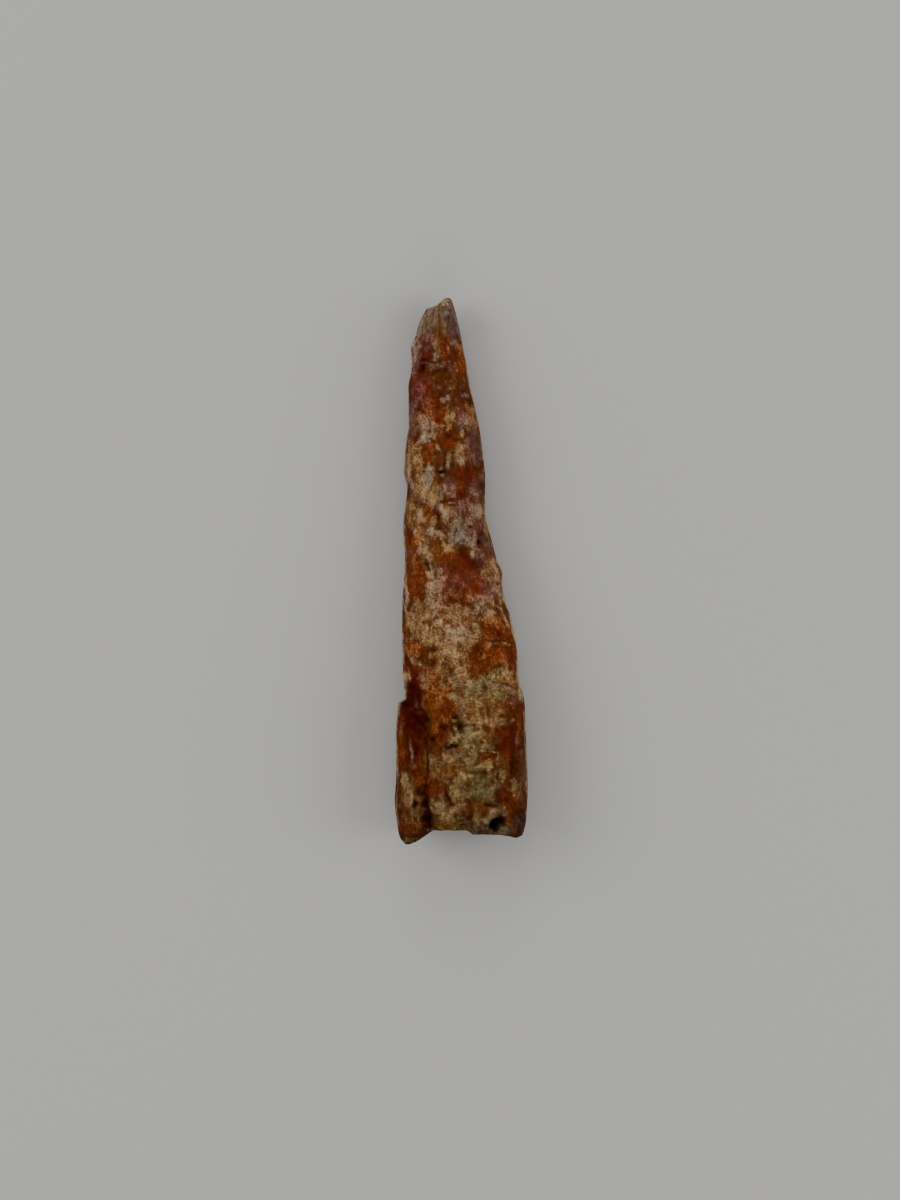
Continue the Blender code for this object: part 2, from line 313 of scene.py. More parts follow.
# cracks and grooves: (depth, half width, route across and up)
grooves = [
    (0.08, 0.09, [(-2.2, 1.0), (-2.3, 2.6), (-2.5, 3.5), (-2.4, 4.5), (-2.3, 5.6), (-2.4, 6.6),
                  (-2.5, 7.4)]),
    (0.07, 0.06, [(-3.68, 7.3), (-3.68, 6.6), (-3.62, 5.9)]),
    (0.03, 0.08, [(-1.58, 37.7), (-1.55, 36.6), (-1.5, 35.6), (-1.45, 35.0)]),
    (0.06, 0.07, [(-2.75, 33.42), (-2.35, 33.48), (-1.9, 33.4)]),
    (0.03, 0.12, [(-1.45, 31.2), (-1.6, 29.9), (-1.5, 29.0)]),
    (0.06, 0.07, [(-1.12, 27.2), (-1.18, 26.2), (-1.35, 25.78), (-1.7, 25.85)]),
    (0.06, 0.06, [(-1.35, 23.72), (-1.0, 23.73), (-0.65, 23.83), (-0.25, 24.0)]),
    (0.05, 0.06, [(-0.95, 23.46), (-0.4, 23.5)]),
    (0.07, 0.07, [(-1.68, 22.95), (-1.58, 22.4), (-1.75, 22.0)]),
    (0.06, 0.08, [(-2.55, 19.75), (-2.38, 19.4), (-2.15, 18.9)]),
    (0.05, 0.06, [(-2.5, 18.25), (-1.95, 18.2)]),
    (0.05, 0.06, [(0.55, 20.75), (1.0, 20.62), (1.25, 20.9)]),
    (0.04, 0.07, [(2.2, 11.3), (2.8, 11.17), (3.45, 10.98), (3.9, 10.7)]),
    (0.06, 0.07, [(-1.4, 15.0), (-1.25, 14.7)]),
    (0.06, 0.08, [(-1.08, 4.3), (-1.0, 3.5), (-0.65, 2.9)]),
    (0.05, 0.07, [(0.2, 5.2), (1.0, 5.1), (1.9, 5.1)]),
    (0.05, 0.06, [(-3.3, 2.75), (-3.05, 3.1)]),
    (0.05, 0.06, [(1.5, 14.2), (2.2, 14.05), (3.1, 14.1), (3.4, 14.4)]),
    (0.05, 0.06, [(-3.35, 18.62), (-3.0, 18.6), (-2.6, 18.62)]),
    (0.05, 0.06, [(-0.75, 15.48), (-0.45, 15.3), (-0.05, 15.12)]),
]

# pits in the upper face, and knobs where the depth is below 0: (across, up, half across, half
# up, depth)
pits = [
    (2.45, 1.55, 0.62, 0.50, 0.62), (-0.70, 6.88, 0.50, 0.20, 0.16), (-0.10, 8.25, 0.24, 0.26, 0.16),
    (4.10, 1.87, 0.12, 0.13, 0.10), (4.37, 1.68, 0.10, 0.12, 0.08), (-3.20, 2.90, 0.22, 0.26, 0.08),
    (-0.80, 14.18, 0.14, 0.14, 0.07), (-1.38, 25.75, 0.20, 0.15, 0.10), (0.62, 22.02, 0.18, 0.16, 0.08),
    (1.25, 20.94, 0.15, 0.18, 0.08), (-0.70, 35.40, 0.12, 0.16, 0.04), (0.42, 29.00, 0.13, 0.15, 0.05),
    (-0.30, 4.90, 0.15, 0.14, 0.07), (2.50, 4.75, 0.14, 0.28, 0.08), (3.42, 10.30, 0.11, 0.11, 0.06),
    (-1.90, 13.45, 0.30, 0.22, 0.07), (-0.40, 8.80, 0.26, 0.16, 0.08), (-2.38, 19.50, 0.24, 0.24, 0.07),
    (2.28, 14.62, 0.22, 0.18, 0.07), (-4.06, 11.62, 0.26, 0.26, -0.10), (-3.25, 21.60, 0.14, 0.16, -0.04),
    (2.15, 2.20, 0.30, 0.28, -0.07), (2.85, 1.20, 0.26, 0.16, -0.06), (-2.45, 9.62, 0.13, 0.33, -0.05),
]


# Short winding ridges, where a broad or a narrow noise crosses nought, in some places only
def ridges(points):
    size = np.array(ridgeNet["size"])
    broad = 1 - ramp(np.abs(latticeNoise(points, size, 71)), 0.0, ridgeNet["width"])
    size = size * ridgeNet["narrower"]
    narrow = 1 - ramp(np.abs(latticeNoise(points, size, 73)), 0.0, ridgeNet["width"])
    area = ramp(latticeNoise(points, ridgeNet["areaSize"], 72), *ridgeNet["area"])
    return np.maximum(broad, ridgeNet["narrowShare"] * narrow) * area


# The fine relief in millimetres, out along the normal: undulation, lengthwise striae, grain,
# rounded granules and ridges, less the grooves and pits of the upper face
def fineRelief(points, across, up, angle, outward):
    grainy = smoothBetween(surface["grainyAlong"], up)
    onCrown = outward == grid["crownMark"]

    def waves(kind, seed, layers=3):
        return surface[kind] * fractalNoise(points, surface[kind + "Size"], seed, layers)

    height = waves("undulation", 11, 2)
    height += between(1.0, surface["striaeOnGrainy"], grainy) * waves("striae", 12)
    height += between(surface["grainOnSmooth"], 1.0, grainy) * waves("grain", 13)
    granules = granuleNoise(points, surface["granulesSize"], 14) - surface["granulesMean"]
    height += between(surface["granulesOnSmooth"], 1.0, grainy) * surface["granules"] * granules
    height += surface["ridge"] * grainy * ridges(points)
    height *= between(surface["sideShare"], 1.0, np.abs(np.sin(angle)))
    height = np.where(onCrown, height, waves("breakGrain", 15))
    upper = onCrown * ramp(np.sin(angle), *surface["upperFrom"])
    for depth, half, route in grooves:
        away = routeDistance(across, up, route) / half
        height -= depth * upper * (1 - ramp(away, 0.0, surface["grooveEdge"]))
    uneven = surface["pitUneven"] * fractalNoise(points, surface["pitUnevenSize"], 16)
    for x, u, halfX, halfU, depth in pits:
        away = np.hypot((across - x) / halfX, (up - u) / halfU) + uneven
        height -= depth * upper * (1 - ramp(away, surface["pitFloor"], 1.0))
    rimFade = between(surface["rimShare"], 1.0, ramp(1 - outward, 0.0, surface["rimWidth"]))
    poleFade = ramp(outward, *surface["floorFade"]) * (1 - ramp(up, *surface["tipFade"]))
    return height * np.where(onCrown, 1.0, rimFade) * poleFade


# the inks of the stains, as red, green and blue of 255 in even light, the share of that light,
# and the inks that are laid at deepStrength
inks = {
    # the first ink here is not a stain: it is painted shadow laid in the pits
    "black": (8, 3, 2), "plum": (44, 5, 2), "maroon": (56, 7, 2), "brick": (80, 26, 10),
    "rust": (90, 36, 9), "orange": (113, 54, 13), "ochre": (98, 58, 18), "honey": (142, 105, 50),
    "moss": (64, 41, 15), "umber": (54, 24, 8), "brown": (74, 36, 13), "sand": (124, 88, 50),
    "cream": (148, 120, 84), "sage": (118, 103, 64), "ash": (116, 102, 84), "mauve": (88, 58, 48),
    "rose": (124, 84, 65), "chalk": (162, 142, 112), "slate": (90, 72, 62), "frost": (130, 124, 100),
    "greige": (112, 92, 70),
}
evenLight = 0.72
deepInks = ("black", "plum", "maroon", "brick")

# broad washes under everything else: (ink, across, up, half across, half up)
washes = [
    ("greige", -1.8, 36.8, 1.5, 1.4), ("slate", -0.6, 36.2, 0.6, 1.2), ("greige", -2.7, 35.8, 0.6, 1.0),
    ("rust", -1.3, 34.4, 0.9, 0.9), ("brick", -2.5, 33.5, 0.6, 1.0), ("ash", -3.25, 34.0, 0.35, 0.9),
    ("orange", 0.0, 33.4, 0.5, 1.2), ("brown", -1.6, 32.6, 1.0, 0.7), ("ochre", -0.3, 32.0, 0.8, 0.9),
    ("brick", -2.8, 31.5, 0.8, 1.4), ("brown", -1.2, 31.3, 0.7, 0.6), ("rust", -1.8, 30.1, 0.6, 1.2),
    ("brown", 0.1, 30.7, 0.7, 0.9), ("sand", 0.6, 29.4, 0.5, 0.8), ("sand", -2.6, 29.2, 0.7, 0.8),
    ("mauve", -3.4, 29.5, 0.3, 1.5), ("rust", -1.1, 28.0, 0.9, 0.7), ("mauve", 0.8, 27.6, 0.6, 1.2),
    ("sand", 0.0, 27.3, 0.6, 0.8), ("rust", -2.5, 26.9, 0.9, 0.8), ("sand", -3.6, 26.3, 0.3, 1.4),
    ("brown", -1.2, 26.6, 0.6, 0.8), ("brick", 0.3, 25.4, 0.8, 0.7), ("rust", 0.9, 26.2, 0.6, 0.5),
    ("sand", -2.5, 25.0, 0.8, 0.9), ("mauve", -0.6, 24.7, 0.7, 0.8), ("mauve", 1.1, 24.0, 0.7, 1.2),
    ("rust", 0.0, 24.6, 0.4, 0.8), ("sand", -3.0, 23.0, 0.8, 1.0), ("rose", 0.5, 23.0, 1.1, 0.8),
    ("sand", -1.2, 22.8, 0.5, 0.8), ("sand", -2.6, 21.4, 0.9, 0.8), ("ash", 0.0, 21.5, 0.8, 0.8),
    ("mauve", 1.2, 21.6, 0.7, 0.9), ("sand", 1.9, 21.8, 0.3, 1.2), ("ochre", -1.1, 20.4, 1.0, 0.6),
    ("orange", -3.3, 20.0, 0.6, 1.0), ("sand", -2.4, 20.0, 0.4, 0.6), ("brick", 0.4, 19.5, 0.9, 0.9),
    ("mauve", 1.4, 20.0, 0.5, 0.7), ("mauve", 2.2, 19.2, 0.5, 1.0), ("rust", -3.3, 18.4, 0.8, 0.9),
    ("mauve", -1.6, 18.3, 0.6, 0.9), ("brick", -0.1, 18.0, 1.1, 1.2), ("rust", -3.0, 17.4, 0.6, 0.7),
    ("sand", -2.2, 17.2, 0.5, 0.9), ("rose", 1.9, 17.6, 0.9, 1.0), ("brick", 1.2, 18.3, 0.4, 0.6),
    ("sand", -2.9, 15.6, 1.1, 0.9), ("sand", -0.5, 15.9, 1.2, 0.7), ("sand", 1.6, 16.3, 1.0, 0.6),
    ("cream", -0.4, 14.5, 1.2, 0.9), ("sand", -2.3, 14.5, 1.0, 0.8), ("rust", 2.4, 14.7, 1.1, 0.9),
    ("ochre", 0.9, 14.3, 0.5, 0.9), ("orange", -3.3, 13.5, 0.7, 0.4), ("brown", -2.2, 13.1, 0.7, 0.7),
    ("sand", -0.7, 13.1, 1.1, 0.7), ("rust", 2.3, 13.2, 1.4, 0.9), ("brick", -3.3, 11.7, 0.6, 1.2),
    ("sand", -1.8, 11.6, 1.1, 0.8), ("sand", 0.0, 12.1, 0.7, 0.9), ("rust", 1.2, 12.1, 0.8, 0.6),
    ("sage", 1.5, 10.8, 1.5, 0.9), ("sand", 3.3, 11.3, 0.8, 1.0), ("maroon", -3.3, 10.4, 0.8, 0.8),
    ("ochre", -1.5, 10.4, 0.9, 0.6), ("maroon", -3.3, 8.8, 1.1, 1.6), ("orange", -1.4, 9.1, 0.9, 1.1),
    ("sand", 0.6, 9.3, 1.0, 0.9), ("sand", 2.4, 9.2, 1.2, 1.0), ("rust", 3.9, 9.0, 0.6, 1.3),
    ("brick", -3.2, 7.0, 0.8, 1.0), ("rust", -1.5, 7.5, 0.8, 0.7), ("sage", 0.4, 7.3, 1.0, 1.0),
    ("sand", 1.8, 7.4, 0.8, 0.6), ("brick", 3.2, 7.1, 0.9, 1.0), ("rust", -4.1, 6.0, 0.5, 2.0),
    ("sand", -1.3, 5.6, 1.0, 0.9), ("sage", 0.8, 5.9, 1.1, 0.8), ("rust", 1.9, 6.1, 0.8, 0.5),
    ("rust", 3.2, 5.4, 0.8, 1.0), ("brick", -3.2, 5.4, 0.7, 0.6), ("sage", 0.9, 4.4, 1.7, 0.9),
    ("rust", -1.8, 3.9, 0.8, 0.8), ("sand", -3.6, 3.6, 0.6, 1.2), ("maroon", -2.6, 3.2, 0.45, 1.2),
    ("cream", -0.9, 2.6, 1.1, 0.8), ("sage", 1.3, 3.6, 1.2, 0.6), ("rust", 3.2, 3.5, 0.9, 0.9),
    ("rust", 0.8, 2.4, 0.8, 0.7), ("sand", 2.2, 2.3, 0.6, 0.5), ("honey", -0.6, 1.4, 1.0, 0.5),
    ("orange", -3.5, 1.4, 0.9, 0.9), ("maroon", -2.3, 1.9, 0.45, 0.9), ("ash", 2.0, 1.0, 1.6, 0.5),
    ("rust", 3.6, 2.3, 0.8, 0.8), ("mauve", 4.1, 1.5, 0.5, 0.8), ("mauve", 4.4, 5.0, 0.25, 2.5),
]

# patches with broken edges, from the tip down: (ink, across, up, half across, half up), then how
# strong the ink is and how many degrees the top leans to the right, where that isn't the usual
patches = {
    "tip": [
        ("greige", -1.2, 37.6, 0.5, 0.35), ("cream", -2.15, 37.15, 0.3, 0.18, 0.5),
        ("greige", -2.3, 36.4, 0.5, 0.7), ("rose", -2.15, 36.75, 0.2, 0.2, 0.5),
        ("greige", -2.75, 36, 0.3, 0.5, 0.6), ("slate", -0.75, 36.45, 0.45, 0.55, 0.95),
        ("slate", -0.5, 35.75, 0.4, 0.45, 0.9), ("mauve", -0.95, 35.9, 0.2, 0.4, 0.6),
        ("chalk", -1.1, 37.65, 0.35, 0.25, 0.75), ("chalk", -1, 36.8, 0.1, 0.1, 0.5),
        ("brown", -0.9, 36.5, 0.08, 0.1, 0.5), ("brown", -1.52, 36.8, 0.06, 0.65, 0.6, -2),
        ("ochre", -1.42, 36, 0.09, 0.5, 0.6), ("brown", -1.95, 36.7, 0.07, 0.3, 0.5),
        ("sage", -2.35, 36.5, 0.1, 0.2, 0.5), ("ash", -0.3, 36.1, 0.08, 0.8, 0.5, -8),
        ("sage", -1.3, 35.6, 0.09, 0.35, 0.6), ("rust", -1.7, 36.05, 0.14, 0.35, 0.6),
        ("rust", -2.1, 35.65, 0.2, 0.15, 0.5), ("ochre", -1.6, 35.45, 0.2, 0.4),
        ("mauve", -2.5, 35.3, 0.25, 0.2), ("brown", -2, 35.5, 0.12, 0.15), ("rose", -2.15, 35, 0.14, 0.22),
        ("sand", -2.9, 35.2, 0.15, 0.3), ("umber", -0.7, 35.45, 0.08, 0.1, 0.5),
        ("moss", -0.3, 35.2, 0.25, 0.12, 0.5), ("brick", -2.45, 34.7, 0.27, 0.12),
        ("mauve", -2.4, 34.35, 0.38, 0.2), ("brick", -2.4, 33.85, 0.4, 0.28),
        ("maroon", -2.5, 33.4, 0.3, 0.17), ("maroon", -2.15, 33.5, 0.15, 0.15),
        ("ash", -3.2, 34.3, 0.22, 0.4), ("rose", -3.3, 33.7, 0.12, 0.3), ("mauve", -3.1, 33.2, 0.12, 0.2),
        ("orange", -1.35, 34.75, 0.45, 0.35), ("orange", -1.5, 35.02, 0.2, 0.12),
        ("cream", -1.85, 34.5, 0.12, 0.3, 0.6), ("cream", -1.9, 33.75, 0.14, 0.17),
        ("sage", -1.6, 34.05, 0.16, 0.16), ("rust", -1.05, 34.15, 0.22, 0.28),
        ("rose", -0.95, 34.27, 0.07, 0.12), ("orange", -1.2, 33.75, 0.28, 0.25),
        ("moss", -1.55, 33.37, 0.12, 0.08), ("rust", -0.35, 33.85, 0.3, 0.38),
        ("umber", -0.3, 33.95, 0.1, 0.15, 0.5), ("moss", -0.2, 34.75, 0.14, 0.12, 0.6),
        ("ash", -0.55, 34.75, 0.2, 0.14, 0.6), ("honey", -0.05, 34.4, 0.25, 0.14),
        ("orange", 0.1, 33.6, 0.2, 0.5, 0.6), ("sage", -1.6, 33.08, 0.3, 0.14),
        ("maroon", -2.55, 32.8, 0.22, 0.33), ("plum", -2.6, 32.92, 0.12, 0.16),
        ("umber", -1.3, 32.78, 0.45, 0.2), ("brown", -2.1, 32.8, 0.3, 0.25), ("rose", -3.3, 32.75, 0.15, 0.2),
        ("brick", -3, 32.45, 0.22, 0.24), ("rose", -0.75, 32.78, 0.18, 0.1),
        ("brown", -0.8, 32.35, 0.14, 0.27), ("brick", -0.82, 32.45, 0.1, 0.15),
        ("ochre", -1.6, 32.3, 0.32, 0.25), ("orange", -0.2, 33, 0.35, 0.35, 0.6),
        ("ochre", -0.3, 32.2, 0.42, 0.45, 0.45),
    ],
    "upper crown": [
        ("rose", -2.8, 31.6, 0.45, 0.7, 0.2), ("mauve", -3.2, 30.8, 0.25, 0.8, 0.6),
        ("brick", -2.4, 32, 0.25, 0.12), ("rose", -1.4, 31.6, 0.08, 0.3, 0.72, -60),
        ("umber", -1.05, 31.45, 0.22, 0.14), ("sand", -0.5, 31.5, 0.25, 0.15),
        ("brick", -3, 31.1, 0.14, 0.14), ("rose", -2.7, 30.7, 0.35, 0.35, 0.3),
        ("rust", -2.5, 30.85, 0.12, 0.1), ("brick", -2.3, 30.25, 0.11, 0.11),
        ("maroon", -3, 30.12, 0.22, 0.15, 0.7), ("maroon", -2.65, 29.85, 0.08, 0.16),
        ("orange", -2.05, 30, 0.22, 0.5, 0.6), ("rust", -1.6, 30.35, 0.25, 0.65),
        ("brick", -1.62, 29.35, 0.27, 0.35), ("cream", -1, 30.68, 0.27, 0.16),
        ("chalk", -0.9, 30.72, 0.12, 0.1), ("moss", -0.7, 30.33, 0.2, 0.25), ("brown", -0.1, 30.8, 0.35, 0.4),
        ("brick", 0.1, 30.12, 0.16, 0.18), ("brown", 0.6, 30.8, 0.1, 0.1), ("cream", 0.4, 31.1, 0.15, 0.12),
        ("orange", 0.75, 30, 0.25, 0.33), ("honey", 0.8, 30.1, 0.12, 0.12), ("rose", -0.2, 30.1, 0.1, 0.1),
        ("ochre", -1.06, 29.2, 0.1, 0.4), ("honey", -0.78, 29.25, 0.24, 0.55),
        ("cream", -2.55, 29.35, 0.3, 0.3), ("ash", -2.4, 28.9, 0.35, 0.18), ("rose", -1.4, 28.87, 0.22, 0.12),
        ("mauve", 0, 29.3, 0.45, 0.5), ("rose", 0.05, 29.6, 0.2, 0.2, 0.5), ("sand", 0.65, 29.25, 0.35, 0.4),
        ("moss", 0.42, 29, 0.1, 0.12), ("umber", 0.42, 29, 0.05, 0.07), ("cream", -2.3, 28.3, 0.42, 0.25),
        ("chalk", -2.5, 28.05, 0.25, 0.3), ("rose", -3, 27.8, 0.2, 0.15),
        ("ochre", -1.45, 28.3, 0.2, 0.3, 0.7), ("rust", -0.85, 27.8, 0.4, 0.28, 0.8),
        ("maroon", -0.9, 28.28, 0.28, 0.16, 0.85, -30), ("maroon", -0.3, 28.1, 0.28, 0.12, 0.85),
        ("mauve", 0.95, 27.4, 0.5, 0.9), ("cream", 0.15, 28.55, 0.13, 0.2), ("honey", 0.05, 28.3, 0.12, 0.12),
        ("cream", 0.15, 27.6, 0.12, 0.12), ("sand", -0.05, 27.3, 0.25, 0.35),
        ("chalk", 0.12, 26.5, 0.14, 0.33), ("cream", -0.88, 26.6, 0.16, 0.4),
        ("chalk", -0.95, 26.3, 0.08, 0.12), ("cream", -1.52, 27.45, 0.12, 0.22),
        ("orange", -2.5, 26.95, 0.35, 0.25), ("rust", -2.35, 26.75, 0.25, 0.15),
        ("ochre", -2, 26.75, 0.25, 0.2), ("orange", -3.2, 27.4, 0.3, 0.2, 0.7),
        ("sage", -2.98, 26.85, 0.1, 0.25), ("cream", -3.15, 26.6, 0.16, 0.18),
        ("chalk", -3.15, 26.5, 0.08, 0.08), ("orange", -3.1, 26, 0.32, 0.3), ("rust", -2.85, 25.8, 0.15, 0.2),
        ("moss", -2.4, 26.32, 0.2, 0.12), ("ash", -2.28, 25.6, 0.2, 0.45),
        ("ash", -2.2, 26.1, 0.15, 0.12, 0.6), ("brick", -1.8, 26.2, 0.17, 0.12),
        # black at -1.36, 25.76 is painted shadow in a pit
        ("plum", -1.5, 25.8, 0.38, 0.19), ("black", -1.36, 25.76, 0.2, 0.12, 0.85),
        ("chalk", -1.42, 26, 0.12, 0.05), ("ash", -1.3, 25.45, 0.15, 0.12),
        ("brick", -0.95, 25.4, 0.11, 0.09), ("moss", -1.15, 26.6, 0.1, 0.6, 0.6),
        ("brown", -0.5, 27, 0.1, 0.45), ("brick", 0.2, 25.55, 0.4, 0.33),
        ("maroon", 0.2, 25.45, 0.2, 0.15, 0.7), ("rust", 0.7, 26, 0.35, 0.3),
        ("umber", 1.17, 26.08, 0.12, 0.1), ("rose", 1, 26.85, 0.3, 0.25, 0.7),
        ("rust", 0.43, 27.35, 0.17, 0.22), ("rose", 1.4, 25.4, 0.12, 0.25),
        ("mauve", 1.25, 27.2, 0.15, 0.6, 0.6), ("cream", -3.65, 26.3, 0.12, 1.1),
        ("chalk", -3.72, 25.75, 0.12, 0.35),
    ],
    "middle": [
        ("cream", -2.75, 25.1, 0.17, 0.35, 0.72, -20), ("ash", -2.35, 25.15, 0.25, 0.4),
        ("cream", -2.5, 24.4, 0.18, 0.33), ("sand", -2.9, 24.4, 0.2, 0.4, 0.6),
        ("ash", -3.35, 24.7, 0.2, 0.4, 0.7), ("rose", -3.3, 24.3, 0.1, 0.1),
        ("brown", -3.07, 25.05, 0.06, 0.15), ("ochre", -1.85, 24.9, 0.2, 0.5),
        ("sage", -1.5, 24.4, 0.16, 0.45), ("cream", -1.52, 24.2, 0.1, 0.2), ("rust", -1.6, 25.2, 0.15, 0.2),
        ("chalk", -1.05, 24.7, 0.09, 0.14), ("rose", -0.65, 24.5, 0.3, 0.45, 0.6),
        ("rust", 0, 24.9, 0.3, 0.85), ("brick", -0.05, 24.3, 0.2, 0.3), ("brick", 0.3, 25.3, 0.2, 0.2),
        ("mauve", 0.6, 24.6, 0.25, 0.4, 0.5), ("brick", 0.82, 23.85, 0.17, 0.22),
        ("umber", 1.35, 24.7, 0.15, 0.2, 0.6), ("maroon", 1.3, 24.9, 0.2, 0.15, 0.5),
        ("rose", 1.1, 24.3, 0.2, 0.2), ("cream", -1.9, 23.8, 0.25, 0.4), ("honey", -1.85, 24.05, 0.2, 0.2),
        ("orange", -2.25, 23.3, 0.33, 0.25), ("mauve", -2.8, 23.75, 0.3, 0.25),
        ("brick", -2.6, 23.3, 0.15, 0.15), ("brown", -3.1, 23.5, 0.12, 0.2),
        ("chalk", -3.35, 23.25, 0.12, 0.11), ("sand", -3.5, 23.3, 0.2, 0.3), ("ash", -1.6, 23.35, 0.16, 0.22),
        ("chalk", -1.35, 23.3, 0.12, 0.25), ("umber", -1.6, 23.2, 0.07, 0.1, 0.6),
        ("cream", -1.1, 22.7, 0.22, 0.35), ("chalk", -1.15, 22.9, 0.12, 0.15),
        ("orange", -2.1, 22.65, 0.28, 0.4), ("orange", -2.05, 22.75, 0.2, 0.25),
        ("rust", -1.62, 22.55, 0.16, 0.42), ("brick", -1.62, 22.7, 0.09, 0.2),
        ("cream", -2.75, 22.85, 0.14, 0.25), ("cream", -2.62, 22.4, 0.13, 0.2),
        ("ochre", -3.3, 22.75, 0.2, 0.4, 0.7), ("brown", -3.75, 22.4, 0.08, 0.15),
        ("chalk", -1.95, 21.8, 0.1, 0.3), ("rust", -2.3, 22.08, 0.33, 0.14),
        ("brown", -2.6, 21.9, 0.15, 0.12), ("moss", -1.05, 22, 0.2, 0.1), ("brown", -1.45, 22.1, 0.15, 0.1),
        ("rose", -0.4, 22.7, 0.25, 0.3, 0.6), ("brick", -0.5, 22.6, 0.15, 0.12, 0.6),
        ("rose", -0.8, 23.2, 0.12, 0.12), ("mauve", 0.05, 23.3, 0.5, 0.5, 0.7),
        ("rose", 0.8, 23.3, 0.25, 0.2), ("chalk", 1.2, 23.1, 0.17, 0.3, 0.8), ("rose", 0.5, 22.55, 0.12, 0.2),
        ("chalk", 0.62, 22.3, 0.17, 0.1), ("umber", 0.62, 22.02, 0.13, 0.12),
        ("brown", 0.5, 21.75, 0.1, 0.15), ("brick", -3.65, 21.7, 0.15, 0.22),
        ("rust", -3.65, 21.25, 0.15, 0.3), ("brick", -3.68, 21.3, 0.08, 0.18),
        ("chalk", -3.25, 21.6, 0.08, 0.12), ("orange", -3, 21.1, 0.35, 0.35, 0.6),
        ("rust", -3.35, 20.88, 0.1, 0.12), ("mauve", -2.3, 21.4, 0.25, 0.25),
        ("umber", -2.32, 21.25, 0.1, 0.08, 0.7), ("rose", -2.15, 21.55, 0.12, 0.1),
        ("cream", -1.5, 21.45, 0.18, 0.15), ("cream", -1.28, 21.1, 0.14, 0.25),
        ("rust", -0.95, 21.38, 0.18, 0.13), ("ash", -0.2, 21.2, 0.4, 0.35),
        ("chalk", 0.05, 21.1, 0.25, 0.2, 0.7), ("ash", 0.4, 21.1, 0.3, 0.25),
        ("sage", -0.15, 22.1, 0.15, 0.25), ("brick", 1.15, 22.1, 0.15, 0.25, 0.7),
        ("maroon", 1.4, 21.5, 0.15, 0.25, 0.7), ("maroon", 1.25, 20.95, 0.1, 0.16),
        # black at 1.25, 20.92 is painted shadow in a pit
        ("black", 1.25, 20.92, 0.05, 0.07, 0.6), ("moss", 1.75, 21.1, 0.2, 0.22, 0.7),
        ("umber", 1.65, 20.95, 0.1, 0.08), ("rose", 0.9, 21.3, 0.17, 0.3),
        ("chalk", 0.8, 20.75, 0.15, 0.1, 0.7), ("sand", 1.7, 22.3, 0.2, 0.5, 0.7, -15),
        ("cream", -2.65, 20.3, 0.2, 0.25), ("cream", -2.25, 20, 0.15, 0.25, 0.72, -25),
        ("honey", -2.3, 20.15, 0.1, 0.1), ("umber", -2.38, 19.5, 0.2, 0.2), ("ochre", -1.8, 20.3, 0.28, 0.33),
        ("honey", -0.9, 20.6, 0.35, 0.3, 0.6), ("ochre", -0.4, 20.3, 0.25, 0.25, 0.6),
        ("brown", -1.4, 20.65, 0.1, 0.15), ("rose", -3.3, 20.2, 0.2, 0.25, 0.6),
        ("orange", -3.3, 19.5, 0.32, 0.3), ("brick", 0.15, 19.95, 0.3, 0.3),
        ("maroon", 0.1, 19.9, 0.12, 0.12, 0.6), ("rust", -0.4, 19.6, 0.2, 0.3, 0.7),
        ("mauve", 1.35, 19.8, 0.35, 0.4, 0.5), ("chalk", 0.85, 20.05, 0.07, 0.25, 0.7),
        ("honey", 2.1, 19.3, 0.25, 0.4), ("cream", 2.2, 19.5, 0.15, 0.25, 0.7),
    ],
    "below the middle": [
        ("umber", 1.05, 19.45, 0.5, 0.45, 0.75), ("brown", 1.95, 19.5, 0.4, 0.45, 0.6),
        ("sand", -1.9, 18.5, 0.35, 0.5, 0.6), ("sand", -3, 16.5, 0.45, 0.5, 0.6),
        ("cream", -1.9, 16.2, 0.4, 0.6, 0.5), ("sage", -2.1, 19, 0.11, 0.5),
        ("cream", -2.35, 18.8, 0.15, 0.25), ("mauve", -1.55, 18.9, 0.25, 0.3),
        ("rose", -1.4, 19.05, 0.1, 0.1), ("rust", -3.6, 18.7, 0.28, 0.55), ("rose", -3.2, 18.7, 0.17, 0.05),
        ("orange", -2.8, 18.85, 0.3, 0.2), ("rust", -2.9, 18.35, 0.65, 0.25),
        ("orange", -2.7, 18.25, 0.3, 0.15, 0.7), ("brick", -2.9, 17.65, 0.33, 0.4),
        ("rust", -3.1, 17.3, 0.15, 0.3), ("umber", -2.2, 18.15, 0.15, 0.08, 0.7),
        ("cream", -3.85, 17.2, 0.1, 0.75), ("chalk", -3.82, 16.95, 0.07, 0.3),
        ("sage", -2.1, 17.4, 0.15, 0.4), ("cream", -2.25, 17.7, 0.15, 0.3), ("rose", -1.5, 17.9, 0.35, 0.5),
        ("ash", -2.2, 16.8, 0.38, 0.22), ("mauve", -1.3, 17.2, 0.3, 0.3, 0.6),
        ("umber", -0.4, 18.8, 0.2, 0.13), ("brick", -0.3, 18.62, 0.25, 0.1),
        ("umber", -0.7, 18.32, 0.17, 0.12), ("umber", -0.35, 18.4, 0.12, 0.1),
        ("brick", 0.2, 18.3, 0.25, 0.12), ("umber", -0.3, 17.9, 0.12, 0.18),
        ("brick", 0.35, 18.98, 0.2, 0.14), ("brick", 1.1, 18.45, 0.2, 0.25),
        ("brick", 1.12, 17.9, 0.13, 0.2, 0.7), ("umber", -0.6, 17.8, 0.3, 0.35, 0.4),
        ("rust", 0.2, 17.6, 0.35, 0.3, 0.5), ("rose", -0.5, 18.2, 0.5, 0.6, 0.15),
        ("rose", 0.6, 18.4, 0.4, 0.5, 0.12), ("brown", -0.3, 17.3, 0.15, 0.15), ("rust", -0.9, 17, 0.25, 0.1),
        ("sage", 1.8, 18.85, 0.3, 0.35, 0.6), ("cream", 2.45, 18.95, 0.15, 0.3),
        ("rose", 2.35, 18.6, 0.2, 0.25), ("ochre", 2, 18.4, 0.4, 0.4, 0.5), ("sand", 2.1, 18.2, 0.14, 0.25),
        ("brown", 2.6, 18.22, 0.25, 0.1), ("rose", 2.5, 17.75, 0.3, 0.2, 0.7),
